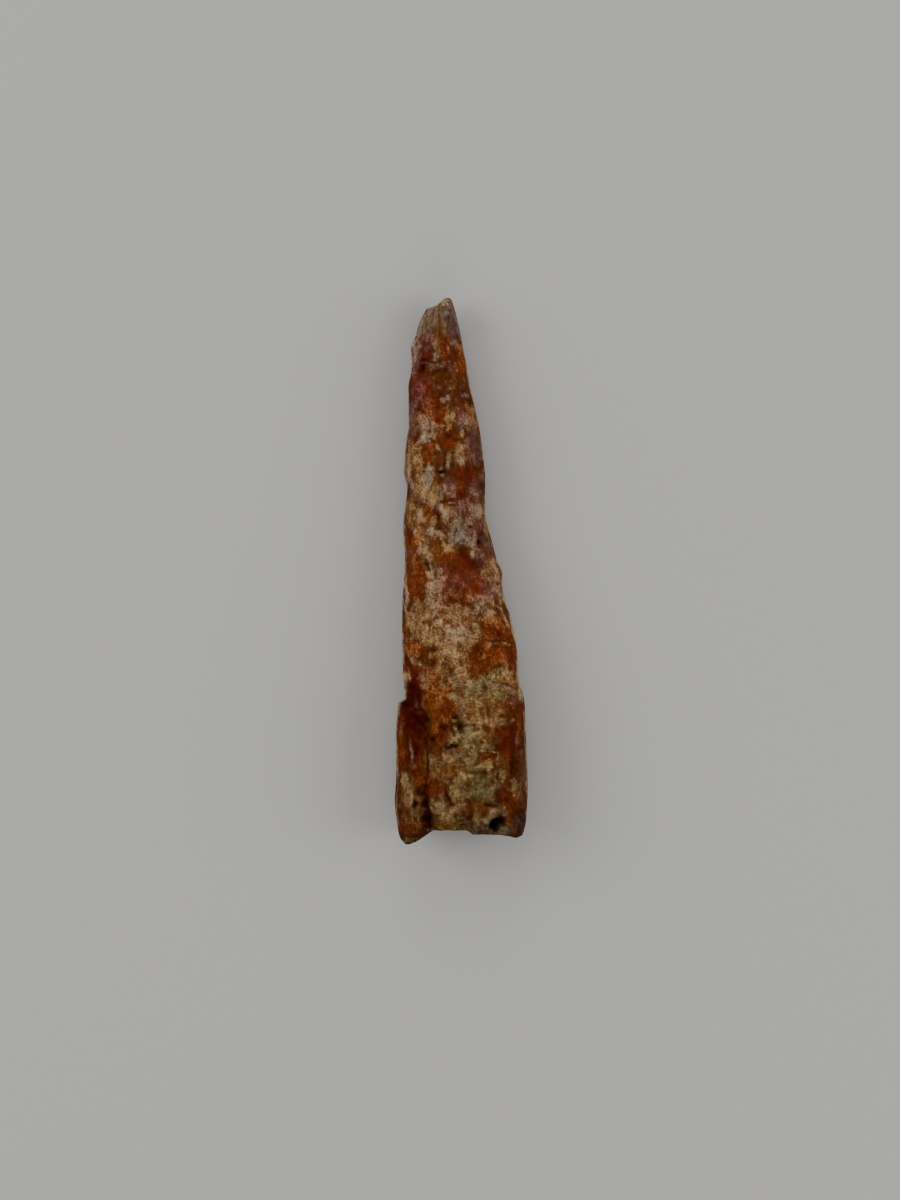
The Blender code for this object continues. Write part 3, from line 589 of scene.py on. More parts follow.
        ("rust", 1, 17.6, 0.35, 0.5, 0.7), ("rust", 1.8, 17.85, 0.12, 0.15), ("rust", 1.7, 17.42, 0.12, 0.16),
        ("brown", 2.1, 17.36, 0.15, 0.08), ("sand", 0.72, 17.1, 0.12, 0.3), ("rust", 1.3, 17.45, 0.08, 0.15),
        ("sand", 1.1, 17, 0.1, 0.25), ("mauve", 1.5, 16.9, 0.25, 0.15), ("sage", 2.8, 17.2, 0.2, 0.3, 0.6),
        ("brown", 3.05, 16.6, 0.15, 0.2), ("rust", 2.1, 16.25, 0.2, 0.14), ("brown", 2, 16.2, 0.08, 0.08),
        ("ash", 1.85, 15.85, 0.25, 0.2), ("cream", 2.2, 15.9, 0.2, 0.15), ("mauve", 1.25, 16.4, 0.3, 0.15),
        ("chalk", 1.1, 16.42, 0.1, 0.08), ("ash", 1.1, 16.15, 0.2, 0.12, 0.6),
        ("brick", 1.25, 15.85, 0.17, 0.24, 0.8), ("brick", 0.8, 16.3, 0.18, 0.18, 0.8),
        ("rose", -0.6, 16.3, 0.3, 0.2, 0.7), ("sand", -0.2, 15.9, 0.55, 0.4, 0.7),
        ("rust", -1.4, 16.02, 0.2, 0.13), ("umber", -1.42, 16.02, 0.08, 0.06),
        ("rust", -1.18, 15.82, 0.13, 0.14), ("brown", -1.02, 16.25, 0.06, 0.25),
        ("rose", -1.5, 16.35, 0.3, 0.12), ("rose", -0.1, 15.38, 0.2, 0.08), ("orange", 0.3, 15.7, 0.12, 0.4),
        ("ochre", 0.58, 15.8, 0.17, 0.3), ("rust", 0.7, 15.3, 0.22, 0.17), ("orange", 0.68, 15.28, 0.1, 0.08),
        ("umber", 0.67, 14.9, 0.07, 0.25), ("sage", 1.1, 15, 0.2, 0.45), ("umber", 1.1, 15.5, 0.08, 0.12),
        ("orange", 2.2, 15.3, 0.7, 0.28), ("orange", 2.35, 15.4, 0.35, 0.18),
        ("rust", 2.5, 14.6, 0.85, 0.5, 0.6), ("maroon", 2.3, 14.65, 0.28, 0.22),
        ("plum", 2.28, 14.62, 0.14, 0.12), ("brown", 2.9, 14.3, 0.4, 0.15),
        ("cream", 3.2, 15.4, 0.12, 0.45, 0.72, -25), ("sand", -2.9, 15.4, 0.5, 0.5, 0.7),
        ("umber", -2.85, 16.1, 0.2, 0.12, 0.6), ("umber", -3.28, 16.12, 0.12, 0.09),
        ("chalk", -3.53, 16.05, 0.06, 0.07), ("moss", -2.2, 16.15, 0.12, 0.4, 0.6),
        ("honey", -3.55, 15.25, 0.18, 0.3), ("sage", -3.4, 14.6, 0.18, 0.5),
        ("cream", -1.5, 15.4, 0.25, 0.25), ("sage", -1.35, 15.3, 0.12, 0.2),
        ("cream", -2.3, 14.95, 0.12, 0.14), ("sand", -2.2, 14.4, 0.35, 0.4, 0.6),
        ("brick", -1.2, 14.6, 0.15, 0.42, 0.85), ("umber", -1.15, 14.65, 0.08, 0.2, 0.6),
        ("cream", -0.8, 14.85, 0.2, 0.2), ("chalk", -0.25, 14.7, 0.25, 0.12),
        ("cream", -0.1, 14.15, 0.35, 0.2), ("chalk", -0.15, 14.15, 0.18, 0.1),
        ("cream", 0.2, 14.4, 0.2, 0.12), ("umber", -0.3, 14.48, 0.25, 0.05, 0.7),
        ("umber", -0.82, 14.18, 0.1, 0.1), ("umber", -0.22, 13.93, 0.12, 0.06),
        ("brick", -3.85, 14.55, 0.1, 0.35), ("rose", -3.8, 14.25, 0.06, 0.15),
        ("brown", -2.92, 14.1, 0.1, 0.25), ("orange", -3.35, 13.55, 0.45, 0.2),
        ("rust", -3, 13.35, 0.3, 0.2, 0.7), ("moss", -1.95, 13.5, 0.35, 0.25),
        ("umber", -1.85, 13.45, 0.22, 0.2), ("umber", -2.3, 13.4, 0.1, 0.07),
        ("ochre", 0.85, 14.1, 0.25, 0.35, 0.7), ("brick", 1.15, 13.6, 0.18, 0.25),
        ("maroon", 1.15, 13.45, 0.1, 0.12, 0.7), ("rust", 2.9, 13.45, 0.55, 0.3),
        ("brick", 3.1, 13.5, 0.25, 0.15, 0.6), ("orange", 1.7, 13.3, 0.35, 0.3, 0.7),
    ],
    "above the ledge": [
        ("orange", -3.3, 13.3, 0.35, 0.2), ("rose", -2.95, 12.45, 0.2, 0.12),
        ("maroon", -3.8, 12.8, 0.2, 0.25, 0.7), ("orange", -2.05, 11, 0.45, 1, 0.7),
        ("rust", -2, 12.2, 0.4, 0.35, 0.7), ("ochre", 1, 11.5, 0.45, 0.35, 0.7),
        ("moss", -2.5, 12.8, 0.25, 0.3), ("umber", -2, 12.45, 0.18, 0.35), ("brick", -3.25, 12.1, 0.45, 0.45),
        ("brick", -3.2, 11.6, 0.4, 0.4), ("maroon", -3.2, 11, 0.42, 0.5), ("maroon", -3.3, 10.5, 0.45, 0.35),
        ("rose", -3.7, 12.1, 0.1, 0.12), ("cream", -3.75, 11.5, 0.13, 0.25),
        ("chalk", -4.05, 11.6, 0.1, 0.18), ("rose", -3.85, 11, 0.08, 0.3),
        ("rose", -2.62, 11.4, 0.15, 0.55, 0.75), ("sand", -2.35, 11.2, 0.15, 0.5, 0.6),
        ("ochre", -1.6, 11.8, 0.35, 0.3, 0.6), ("honey", -1.45, 10.3, 0.38, 0.2),
        ("cream", -1.25, 10.35, 0.15, 0.12), ("orange", -1.5, 10.9, 0.2, 0.12),
        ("rust", -0.75, 10.9, 0.25, 0.2), ("orange", -0.8, 10.8, 0.12, 0.1),
        ("orange", -1.95, 11.2, 0.4, 0.6, 0.6), ("orange", -2, 10.3, 0.35, 0.4, 0.6),
        ("rose", -0.82, 11.3, 0.1, 0.25, 0.72, 35), ("brown", -1.2, 11.4, 0.2, 0.14),
        ("brown", -0.65, 11.8, 0.25, 0.14), ("rust", -1, 11.45, 0.1, 0.1), ("cream", -0.8, 13.3, 0.35, 0.2),
        ("cream", -1.1, 13.2, 0.15, 0.12), ("umber", -1, 12.97, 0.14, 0.1), ("moss", -0.6, 13.1, 0.12, 0.1),
        ("rose", -0.75, 12.6, 0.2, 0.1), ("umber", -1.2, 12.32, 0.12, 0.12),
        ("sand", -1.5, 12.6, 0.12, 0.5, 0.6), ("sage", -0.3, 12.9, 0.2, 0.3, 0.6),
        ("rose", 0.12, 11.4, 0.13, 0.7), ("ash", -0.3, 11.3, 0.18, 0.3, 0.6), ("rust", 0.05, 10.2, 0.16, 0.3),
        ("brown", 0.02, 10.15, 0.1, 0.15), ("brick", 0.3, 12.7, 0.12, 0.12),
        ("brick", 0, 12.6, 0.1, 0.2, 0.6), ("orange", 1.5, 13, 0.3, 0.25), ("orange", 2.5, 12.9, 0.55, 0.35),
        ("orange", 2.5, 13, 0.3, 0.2), ("rust", 2.2, 13.3, 0.4, 0.15), ("brick", 3.5, 12.75, 0.2, 0.35),
        ("umber", 3.55, 12.7, 0.08, 0.1), ("rust", 0.9, 12.15, 0.25, 0.3), ("rust", 0.75, 11.75, 0.25, 0.2),
        ("rust", 1.5, 11.85, 0.35, 0.17), ("orange", 1.3, 12.2, 0.2, 0.15), ("sage", 2.65, 12.05, 0.35, 0.25),
        ("chalk", 2.7, 12.2, 0.15, 0.1, 0.6), ("cream", 2.95, 11.85, 0.2, 0.2),
        ("sage", 2.4, 11.7, 0.2, 0.15), ("brick", 3.5, 12.1, 0.17, 0.2), ("cream", 3.4, 11.78, 0.2, 0.1),
        ("sage", 1.8, 11.42, 0.25, 0.22), ("cream", 1.75, 11.45, 0.1, 0.1),
        ("honey", 3.4, 11.4, 0.35, 0.2, 0.6), ("ash", 1.3, 10.85, 0.17, 0.35),
        ("cream", 0.7, 10.9, 0.25, 0.25, 0.7), ("mauve", 0.95, 10.7, 0.15, 0.15, 0.6),
        ("brick", 1.75, 10.88, 0.22, 0.17, 0.7), ("brown", 1.3, 10.22, 0.18, 0.12),
        ("sage", 2.6, 10.55, 0.3, 0.35), ("ash", 2.5, 10.7, 0.15, 0.15, 0.6),
        ("mauve", 3.55, 10.15, 0.3, 0.4, 0.8), ("umber", 3.42, 10.3, 0.08, 0.08),
        ("umber", 3.82, 10.75, 0.1, 0.08), ("chalk", 4.12, 10.4, 0.1, 0.45),
        ("sage", 0.8, 10.1, 0.35, 0.15, 0.6),
    ],
    "below the ledge": [
        ("maroon", -3.4, 9.2, 0.85, 0.85), ("maroon", -3.2, 8.2, 0.8, 0.7), ("plum", -3.8, 9.8, 0.3, 0.2),
        ("plum", -2.3, 8.8, 0.28, 0.2), ("plum", -2.65, 8.4, 0.25, 0.22), ("plum", -3.1, 9.3, 0.25, 0.3, 0.7),
        ("mauve", -3, 9.75, 0.12, 0.2, 0.6), ("mauve", -2.8, 9.1, 0.15, 0.1, 0.5),
        ("brick", -4.1, 8.9, 0.15, 0.4, 0.7), ("rose", -2.45, 9.62, 0.08, 0.28),
        ("orange", -1.5, 9.5, 0.5, 0.45), ("ochre", -1.6, 8.9, 0.4, 0.35),
        ("orange", -1.05, 9.2, 0.45, 0.55, 0.8), ("orange", -1.8, 8.2, 0.3, 0.35, 0.8),
        ("brick", -0.85, 9.85, 0.28, 0.2), ("rust", -1.2, 9.3, 0.45, 0.4, 0.7),
        ("rust", -1.1, 8.2, 0.35, 0.35, 0.6), ("maroon", -1.15, 8.2, 0.22, 0.18),
        ("umber", -0.35, 8.82, 0.25, 0.14), ("plum", -0.4, 8.8, 0.14, 0.08, 0.7),
        ("moss", -0.4, 9.1, 0.25, 0.08), ("moss", -0.1, 8.25, 0.17, 0.2),
        # black at -0.12, 8.22 is painted shadow in a pit
        ("black", -0.12, 8.22, 0.09, 0.11, 0.7), ("chalk", -0.42, 8.65, 0.12, 0.05),
        ("cream", -0.35, 8.2, 0.1, 0.15), ("moss", -0.45, 7.85, 0.12, 0.12), ("sage", 0.7, 7.75, 0.28, 0.38),
        ("frost", 0.62, 7.8, 0.2, 0.33, 0.85), ("frost", 0.75, 8.05, 0.1, 0.14),
        ("chalk", 0.65, 7.6, 0.15, 0.2, 0.6), ("cream", 0.9, 8.7, 0.12, 0.3, 0.72, 10),
        ("moss", 0.95, 8.3, 0.2, 0.07), ("cream", 0.6, 8.45, 0.1, 0.12), ("ash", 1.6, 8.55, 0.25, 0.33, 0.75),
        ("sand", 2.3, 9, 0.5, 0.45, 0.6), ("rust", 3.1, 9.4, 0.45, 0.5, 0.7),
        ("brown", 3.32, 9.15, 0.17, 0.4), ("rust", 3.85, 9, 0.4, 0.7, 0.7),
        ("rose", 2.85, 8.35, 0.35, 0.3, 0.8), ("chalk", 3.45, 8.56, 0.07, 0.08),
        ("umber", 2.6, 8.32, 0.07, 0.1, 0.6), ("rust", 2.4, 7.95, 0.35, 0.12), ("brick", 3.3, 7.3, 0.5, 0.4),
        ("rust", 2.9, 7.8, 0.4, 0.2), ("orange", 4, 7.9, 0.2, 0.8, 0.6), ("moss", 1.05, 7.9, 0.2, 0.12),
        ("cream", 0.1, 9.65, 0.14, 0.35), ("cream", -0.5, 10.3, 0.25, 0.2), ("sage", -0.3, 10, 0.12, 0.2),
        ("orange", 0.75, 9.4, 0.2, 0.25), ("cream", 1.2, 9.6, 0.2, 0.3), ("honey", 1.2, 8.9, 0.2, 0.4, 0.6),
        ("brown", 1.8, 9, 0.25, 0.08), ("maroon", -2, 7.3, 0.35, 0.35), ("plum", -1.95, 7.3, 0.2, 0.2),
        ("brick", -1.3, 7.6, 0.4, 0.2), ("rose", -4.2, 8.1, 0.1, 0.3), ("orange", -4.2, 7.6, 0.2, 0.3),
        ("orange", -1.5, 6.75, 0.3, 0.35), ("rust", -1.7, 6.4, 0.2, 0.25), ("brick", -3.1, 6.4, 0.3, 0.65),
        ("maroon", -3.15, 6.4, 0.18, 0.35, 0.8), ("chalk", -3.5, 6.4, 0.07, 0.45),
        ("umber", -3.67, 6.6, 0.06, 0.5), ("sand", -2.45, 6, 0.08, 0.65),
        ("ochre", -2.78, 5.7, 0.15, 0.35, 0.7), ("umber", -2.28, 5.5, 0.12, 0.5),
        ("brick", -2.25, 5.2, 0.15, 0.35, 0.6), ("orange", -4.1, 6.2, 0.25, 0.9, 0.7),
        ("rust", -3.7, 5.35, 0.22, 0.2), ("maroon", -3.72, 5.35, 0.1, 0.12, 0.6),
        ("brick", -3.3, 5.2, 0.4, 0.2), ("rose", -3.35, 5.5, 0.12, 0.14), ("orange", -2.75, 4.85, 0.28, 0.18),
        ("rust", -3.2, 4.75, 0.3, 0.15, 0.7), ("maroon", -2.45, 4.45, 0.2, 0.3, 0.85),
        ("sand", -1.3, 5.2, 0.6, 0.6, 0.5), ("ochre", -0.9, 5.5, 0.5, 0.5, 0.5),
        ("ochre", 0.3, 5.3, 0.5, 0.3, 0.5), ("umber", -1.25, 5.42, 0.25, 0.1),
        ("umber", -0.3, 4.9, 0.12, 0.12), ("brown", -0.62, 4.75, 0.1, 0.12), ("rust", -0.6, 5.3, 0.3, 0.1),
        ("rust", -1.4, 4.7, 0.3, 0.12, 0.6), ("ash", -0.55, 6.5, 0.5, 0.2), ("mauve", -1.1, 6.65, 0.14, 0.2),
        ("ash", 0.08, 6.45, 0.14, 0.14), ("cream", -0.5, 6.1, 0.3, 0.16), ("umber", -0.05, 6.05, 0.12, 0.09),
        ("brown", 0, 6.8, 0.4, 0.3, 0.6), ("sage", 0.5, 6.4, 0.4, 0.5), ("moss", 0.45, 6.35, 0.2, 0.22, 0.7),
        ("cream", 1.65, 6.9, 0.4, 0.17), ("umber", 1.2, 6.75, 0.1, 0.08), ("rust", 1.8, 6.25, 0.6, 0.35),
        ("orange", 1.9, 6.35, 0.3, 0.15), ("brick", 2.2, 6.35, 0.2, 0.12), ("honey", 2.05, 5.75, 0.25, 0.2),
        ("brown", 1.3, 5.85, 0.14, 0.15), ("sage", 0.4, 5.5, 0.28, 0.25), ("ash", 0.35, 5.65, 0.12, 0.12),
        ("umber", 0.5, 5.15, 0.22, 0.09), ("umber", 1, 5.1, 0.12, 0.08), ("moss", 1.7, 5.1, 0.22, 0.12),
        ("umber", 1.72, 5.05, 0.1, 0.07), ("umber", 3.5, 5.4, 0.3, 0.65, 0.8),
        ("maroon", 3.5, 5.6, 0.15, 0.3, 0.5), ("ochre", 2.9, 5.5, 0.3, 0.7, 0.6),
        ("brick", 3.4, 6.9, 0.45, 0.4, 0.8), ("mauve", 4.25, 5.3, 0.2, 1.2, 0.7),
        ("rose", 3.9, 7.2, 0.08, 0.25),
    ],
    "base": [
        ("umber", 2.5, 4.75, 0.1, 0.25), ("sage", 0.6, 4.6, 0.9, 0.35, 0.5), ("rust", 0.33, 4.3, 0.14, 0.14),
        ("brown", 0.9, 3.95, 0.12, 0.1), ("moss", 1.1, 4.45, 0.12, 0.1), ("sage", 1.75, 3.85, 0.45, 0.25),
        ("frost", 1.5, 3.9, 0.25, 0.12), ("moss", 0.5, 4.5, 0.5, 0.35, 0.5), ("cream", 0, 4.75, 0.25, 0.2),
        ("cream", -0.5, 3.85, 0.3, 0.3), ("cream", 0.3, 3.7, 0.3, 0.15), ("rust", 3, 3.3, 0.4, 0.25),
        ("brick", 3.1, 3.75, 0.3, 0.15), ("rust", 3.3, 4.25, 0.25, 0.2), ("rust", 3.5, 3.2, 0.4, 0.4, 0.9),
        ("cream", 3.75, 4.3, 0.17, 0.4, 0.8), ("sand", 3.5, 4, 0.2, 0.1), ("sand", 4, 3.6, 0.2, 0.5, 0.5),
        ("cream", 2.8, 4.6, 0.1, 0.25, 0.7), ("rust", 0, 3.2, 0.2, 0.22), ("rust", 0.5, 2.5, 0.22, 0.3),
        ("brick", 0.6, 2, 0.18, 0.13), ("ochre", 0.9, 2.8, 0.15, 0.17), ("rust", 1.45, 2.25, 0.35, 0.35),
        ("umber", 1.9, 2.8, 0.2, 0.1, 0.7), ("umber", 1.35, 1.75, 0.15, 0.12), ("sage", 0.95, 2.2, 0.12, 0.3),
        ("cream", -1.5, 2.65, 0.5, 0.4), ("ochre", -1.1, 2.5, 0.5, 0.5, 0.5),
        ("sand", -1.9, 2.9, 0.2, 0.3, 0.6), ("cream", -0.9, 2, 0.5, 0.3),
        ("chalk", -1.5, 2.75, 0.2, 0.15, 0.5), ("honey", -0.7, 1.45, 0.7, 0.25, 0.8),
        ("cream", -1.1, 1.65, 0.2, 0.12), ("ochre", -0.1, 1.4, 0.3, 0.2),
        ("umber", -1.7, 2.15, 0.2, 0.1, 0.6), ("maroon", -2.65, 3.35, 0.33, 0.6),
        ("plum", -2.6, 3.3, 0.18, 0.35), ("maroon", -2.3, 1.9, 0.33, 0.6), ("plum", -2.25, 1.8, 0.2, 0.4),
        ("rust", -1.75, 3.75, 0.28, 0.4, 0.85), ("umber", -1.65, 3.25, 0.15, 0.12),
        ("rust", -0.95, 3.55, 0.22, 0.6, 0.72, -12), ("brick", -0.8, 3.1, 0.2, 0.25, 0.6),
        ("brown", -0.35, 2.75, 0.2, 0.1), ("cream", -0.4, 2.4, 0.2, 0.25), ("umber", -3.2, 2.9, 0.15, 0.2),
        ("orange", -3.4, 1.3, 0.7, 0.45, 0.85), ("rust", -3.6, 1.3, 0.35, 0.3, 0.5),
        ("rose", -3.5, 1.75, 0.25, 0.15, 0.7), ("sage", -3.2, 2.25, 0.28, 0.3),
        ("sand", -2.8, 1.75, 0.14, 0.2), ("ochre", -3.8, 1.95, 0.2, 0.2), ("rust", -3.85, 2.4, 0.12, 0.25),
        ("rust", -4.25, 3.4, 0.13, 0.6), ("sand", -3.6, 0.4, 0.5, 0.2), ("moss", -3, 0.7, 0.4, 0.15, 0.6),
        ("ash", -2.2, 1.08, 0.25, 0.12), ("rose", 0.22, 1.72, 0.15, 0.15), ("umber", 0.02, 1.6, 0.1, 0.1),
        ("cream", 1.3, 1.4, 0.3, 0.35), ("umber", 1.25, 1.25, 0.1, 0.1), ("umber", 1, 1.45, 0.08, 0.08),
        ("moss", 0.65, 1.5, 0.15, 0.15), ("chalk", 2.2, 2.15, 0.25, 0.28), ("chalk", 1.8, 1.75, 0.2, 0.17),
        # black at 2.45, 1.6 and on the next line is painted shadow in the big pit
        ("ash", 3, 2.25, 0.2, 0.2), ("chalk", 2.82, 1.3, 0.22, 0.16), ("black", 2.45, 1.6, 0.42, 0.4, 1),
        ("black", 2.8, 1.72, 0.22, 0.17), ("black", 2.2, 1.3, 0.24, 0.2), ("moss", 1.7, 1.45, 0.2, 0.1),
        ("orange", 3.4, 2, 0.22, 0.6, 0.85), ("rust", 3.9, 2.6, 0.45, 0.28), ("orange", 4, 2.65, 0.2, 0.12),
        # black on this line and the next is painted shadow in two small pits
        ("mauve", 4, 1.85, 0.3, 0.35), ("black", 4.1, 1.87, 0.07, 0.08, 0.8),
        ("black", 4.37, 1.68, 0.06, 0.07, 0.8), ("mauve", 2.3, 0.9, 1.3, 0.18, 0.8), ("ash", 3, 1, 0.3, 0.15),
        ("brick", 3.88, 1, 0.16, 0.4), ("mauve", 4.25, 1.1, 0.15, 0.4),
    ],
    "thin veils": [
        ("brown", 0.1, 32.4, 0.35, 0.45, 0.8), ("sand", -2, 33.2, 0.25, 0.3, 0.5),
        ("rust", -2, 29.5, 0.3, 0.4, 0.6), ("orange", -2.1, 27.4, 0.35, 0.3, 0.7),
        ("umber", 1, 27.5, 0.3, 0.5, 0.5), ("honey", -2.9, 26.4, 0.35, 0.35, 0.6),
        ("honey", -3, 27.5, 0.3, 0.3, 0.4), ("honey", -2.05, 22.5, 0.2, 0.3, 0.5),
        ("mauve", 1, 22.5, 0.4, 0.4, 0.7), ("cream", -0.9, 21.5, 0.4, 0.35, 0.55),
        ("brown", 2, 19.2, 0.35, 0.5, 0.5), ("brown", 2, 18.3, 0.35, 0.4, 0.4),
        ("orange", -3, 17.4, 0.4, 0.4, 0.4), ("sand", -0.5, 17.3, 0.6, 0.35, 0.35),
        ("brick", 1, 17.4, 0.35, 0.35, 0.6), ("sand", -0.6, 16.5, 0.6, 0.3, 0.5),
        ("brown", -3, 15.4, 0.4, 0.45, 0.6), ("honey", 1.9, 15.6, 0.4, 0.3, 0.5),
        ("orange", 2, 14.3, 0.5, 0.4, 0.65), ("brown", -1.1, 13.5, 0.3, 0.25, 0.6),
        ("sand", -3.1, 12.6, 0.3, 0.25, 0.6), ("orange", 2, 12.4, 0.4, 0.3, 0.5),
        ("brown", -2, 11.4, 0.35, 0.4, 0.5), ("brown", 1, 11.5, 0.35, 0.3, 0.4),
        ("rust", -2, 10.4, 0.3, 0.3, 0.5), ("brick", -1, 9.4, 0.4, 0.4, 0.6),
        ("brown", 0, 9.5, 0.3, 0.3, 0.3), ("umber", 3.9, 9.4, 0.4, 0.4, 0.5),
        ("brown", 3, 9.5, 0.3, 0.3, 0.5), ("sand", 2, 8.5, 0.45, 0.4, 0.7),
        ("moss", 1.1, 7.2, 0.35, 0.35, 0.6), ("brown", 0, 6.4, 0.4, 0.35, 0.5),
        ("ochre", -1, 5.4, 0.45, 0.35, 0.7), ("moss", 1, 5.5, 0.4, 0.3, 0.6),
        ("orange", -3, 4.5, 0.45, 0.4, 0.85), ("ochre", 0, 4.5, 0.35, 0.3, 0.4),
        ("sand", -3.1, 3.4, 0.4, 0.35, 0.65), ("sand", -3, 2.4, 0.35, 0.35, 0.65),
        ("brown", -0.9, 2.6, 0.4, 0.3, 0.3), ("brown", 0, 2.5, 0.3, 0.3, 0.4),
        ("ochre", -0.9, 1.5, 0.4, 0.2, 0.4),
    ],
}

# streaks drawn over the patches: (ink, half width, strength, route across and up)
streaks = [
    ("rose", 0.06, 0.5, [(-2.7, 33.2), (-1.9, 33.27), (-0.8, 33.4)]),
    ("brown", 0.08, 0.7, [(0.15, 28.15), (0.5, 28.35), (0.7, 28.65)]),
    ("brick", 0.09, 0.85, [(-1.35, 23.72), (-1.0, 23.73), (-0.65, 23.83), (-0.25, 24.0)]),
    ("rose", 0.06, 0.7, [(-0.9, 23.6), (-0.4, 23.72)]),
    ("brick", 0.06, 0.7, [(-0.95, 23.46), (-0.4, 23.52)]),
    ("brick", 0.09, 0.85, [(0.6, 22.95), (0.35, 22.95), (0.18, 22.7), (0.15, 22.3)]),
    ("rose", 0.06, 0.7, [(0.6, 20.62), (1.0, 20.5), (1.4, 20.42)]),
    ("rust", 0.14, 0.8, [(-1.5, 19.6), (-1.0, 19.72), (-0.5, 19.9)]),
    ("honey", 0.10, 0.8, [(1.95, 16.8), (2.2, 16.55), (2.6, 16.4)]),
    ("umber", 0.08, 0.8, [(-0.75, 15.5), (-0.5, 15.48)]),
    ("brick", 0.11, 0.85, [(-0.55, 15.35), (-0.4, 15.2), (-0.05, 15.15)]),
    ("sand", 0.09, 0.55, [(1.9, 13.8), (2.4, 13.85), (2.95, 13.92), (3.3, 13.7)]),
    ("rose", 0.13, 0.4, [(-3.5, 13.05), (-3.25, 12.8), (-2.95, 12.6)]),
    ("rust", 0.10, 0.8, [(-1.95, 11.15), (-1.7, 10.8), (-1.3, 10.6)]),
    ("moss", 0.09, 0.55, [(2.2, 11.3), (2.8, 11.17), (3.45, 10.98)]),
    ("moss", 0.06, 0.7, [(2.6, 10.8), (3.05, 10.6)]),
    ("cream", 0.10, 0.85, [(-1.0, 6.9), (-0.6, 7.35), (-0.2, 7.75)]),
    ("plum", 0.13, 0.75, [(-1.05, 6.75), (-0.7, 6.85), (-0.3, 7.02)]),
    # black along this pit is painted shadow
    ("black", 0.07, 0.35, [(-0.9, 6.78), (-0.5, 6.9)]),
    ("cream", 0.08, 0.85, [(0.25, 6.85), (0.6, 6.95), (0.92, 6.7), (0.98, 6.3), (0.8, 6.0), (0.4, 5.98)]),
    ("cream", 0.06, 0.7, [(1.35, 6.62), (2.1, 6.65), (2.45, 6.4), (2.5, 5.9)]),
    ("cream", 0.09, 0.85, [(0.85, 5.5), (1.4, 5.6), (1.85, 5.45), (2.2, 5.4)]),
    ("cream", 0.15, 0.9, [(-3.95, 4.9), (-3.85, 4.4), (-3.7, 3.95), (-3.4, 3.5), (-3.45, 3.0)]),
    ("chalk", 0.10, 0.8, [(-3.45, 3.6), (-3.35, 3.3)]),
    ("umber", 0.09, 0.8, [(1.9, 2.85), (2.15, 2.7), (2.4, 2.6)]),
]

# how the paint is laid: how far its edges wander, how soft they are, how far it wraps under the
# sides; a pair is where something sets in and where it is full
paint = {
    "wander": 0.14, "wanderSize": 0.9, "jitter": 0.07, "jitterSize": 0.32, "rimRate": 0.5,
    "fray": 1.5, "fraySize": (0.36, 0.55, 0.36), "fleck": 0.9, "fleckSize": (0.19, 0.26, 0.19),
    "ground": "brown", "blur": 0.08, "deepStrength": 0.90,
    "washSoft": 0.5, "washStrength": 0.70, "washFray": 0.7,
    "patchSoft": 0.45, "patchStrength": 0.72, "smallPatch": 0.3, "pitShadowFray": 0.4,
    "streakFray": 0.4, "streakEdge": (0.5, 1.4),
    # umber along the grooves, darker the deeper they are, is painted shade in the grooves
    "grooveShadeInk": "umber", "grooveShade": 5.0, "grooveFray": 0.3, "grooveEdge": (0.2, 1.3),
    "mottle": 1.25, "mottleSize": (0.27, 0.32, 0.27), "wispSize": (0.22, 0.65, 0.25),
    "darkTint": (0.50, 0.38, 0.30), "rustShare": 0.6, "rustyFrom": (0.05, 0.14),
    "paleTint": 0.35, "palerFrom": (0.0, 0.10), "chalkFrom": (0.06, 0.14),
    "ridge": 0.75, "ridgeFrom": (0.05, 0.15),
    # pale chalk along the side edges: painted highlight of the light on the edges, in part paler worn edge
    "rim": 0.6, "rimFrom": (0.955, 0.985), "rimSize": 0.8, "rimMean": 0.6, "rimContrast": 2.2,
    "rimWander": 0.5, "rimLower": (-0.2, 0.1),
    "underShift": 2.6, "underFrom": (-0.45, -0.20), "underWander": 0.25, "underSize": 1.1,
    # painted shade where the relief is sunk and painted highlight where it stands out, full at reliefDepth
    "reliefDepth": 0.12, "reliefShadeAndHighlight": (-0.45, 0.35),
    # the factor the colour is multiplied by, by height above the base; least at the broken base
    "tone": [(0.0, 0.44), (1.0, 0.60), (3.0, 0.87), (5.0, 1.05), (9.0, 1.15), (12.0, 1.30),
             (14.5, 1.50), (18.0, 1.48), (21.0, 1.22), (24.0, 1.14), (28.0, 1.17), (31.0, 1.38),
             (34.0, 1.38), (36.0, 1.12), (38.0, 1.10)],
    # the share of blue that is left, by height
    "blue": [(0.0, 0.92), (6.0, 0.90), (10.0, 0.92), (14.0, 1.02), (18.0, 1.18), (22.0, 1.12),
             (27.0, 1.06), (31.5, 1.40), (34.0, 1.35), (36.0, 1.10)],
}

# the broken end: how its inks are blotched, how dark the painted shade in the hollow is, and where the wall's
# end gives way to the hollow
brokenEnd = {
    "blotchSize": 0.9, "brownFrom": (-0.2, 0.0), "sandFrom": (0.1, 0.3), "wallSandFrom": (-0.1, 0.1),
    "hollowPaintedShade": 0.6, "wallFrom": (0.58, 0.82), "wallWander": 0.35, "wallSize": 1.3,
}


# Where the paint lies on each point: the distance across as seen from above or below, summed
# round the ring. Where the side turns away it runs on at rimRate of the true distance, so that no
# stain is drawn out down a side.
def paintAcross(rings, fromBelow):
    step = np.roll(rings, -1, axis=1) - rings
    rate = np.maximum(np.abs(step[..., 0]), paint["rimRate"] * np.hypot(step[..., 0], step[..., 2]))
    run = np.cumsum(rate, axis=1) - rate
    total = rate.sum(axis=1, keepdims=True)
    half = grid["columns"] // 2
    if fromBelow:
        return rings[:, :1, 0] + np.where(np.arange(grid["columns"]) < half, run, run - total)
    return rings[:, half:half + 1, 0] + run[:, half:half + 1] - run


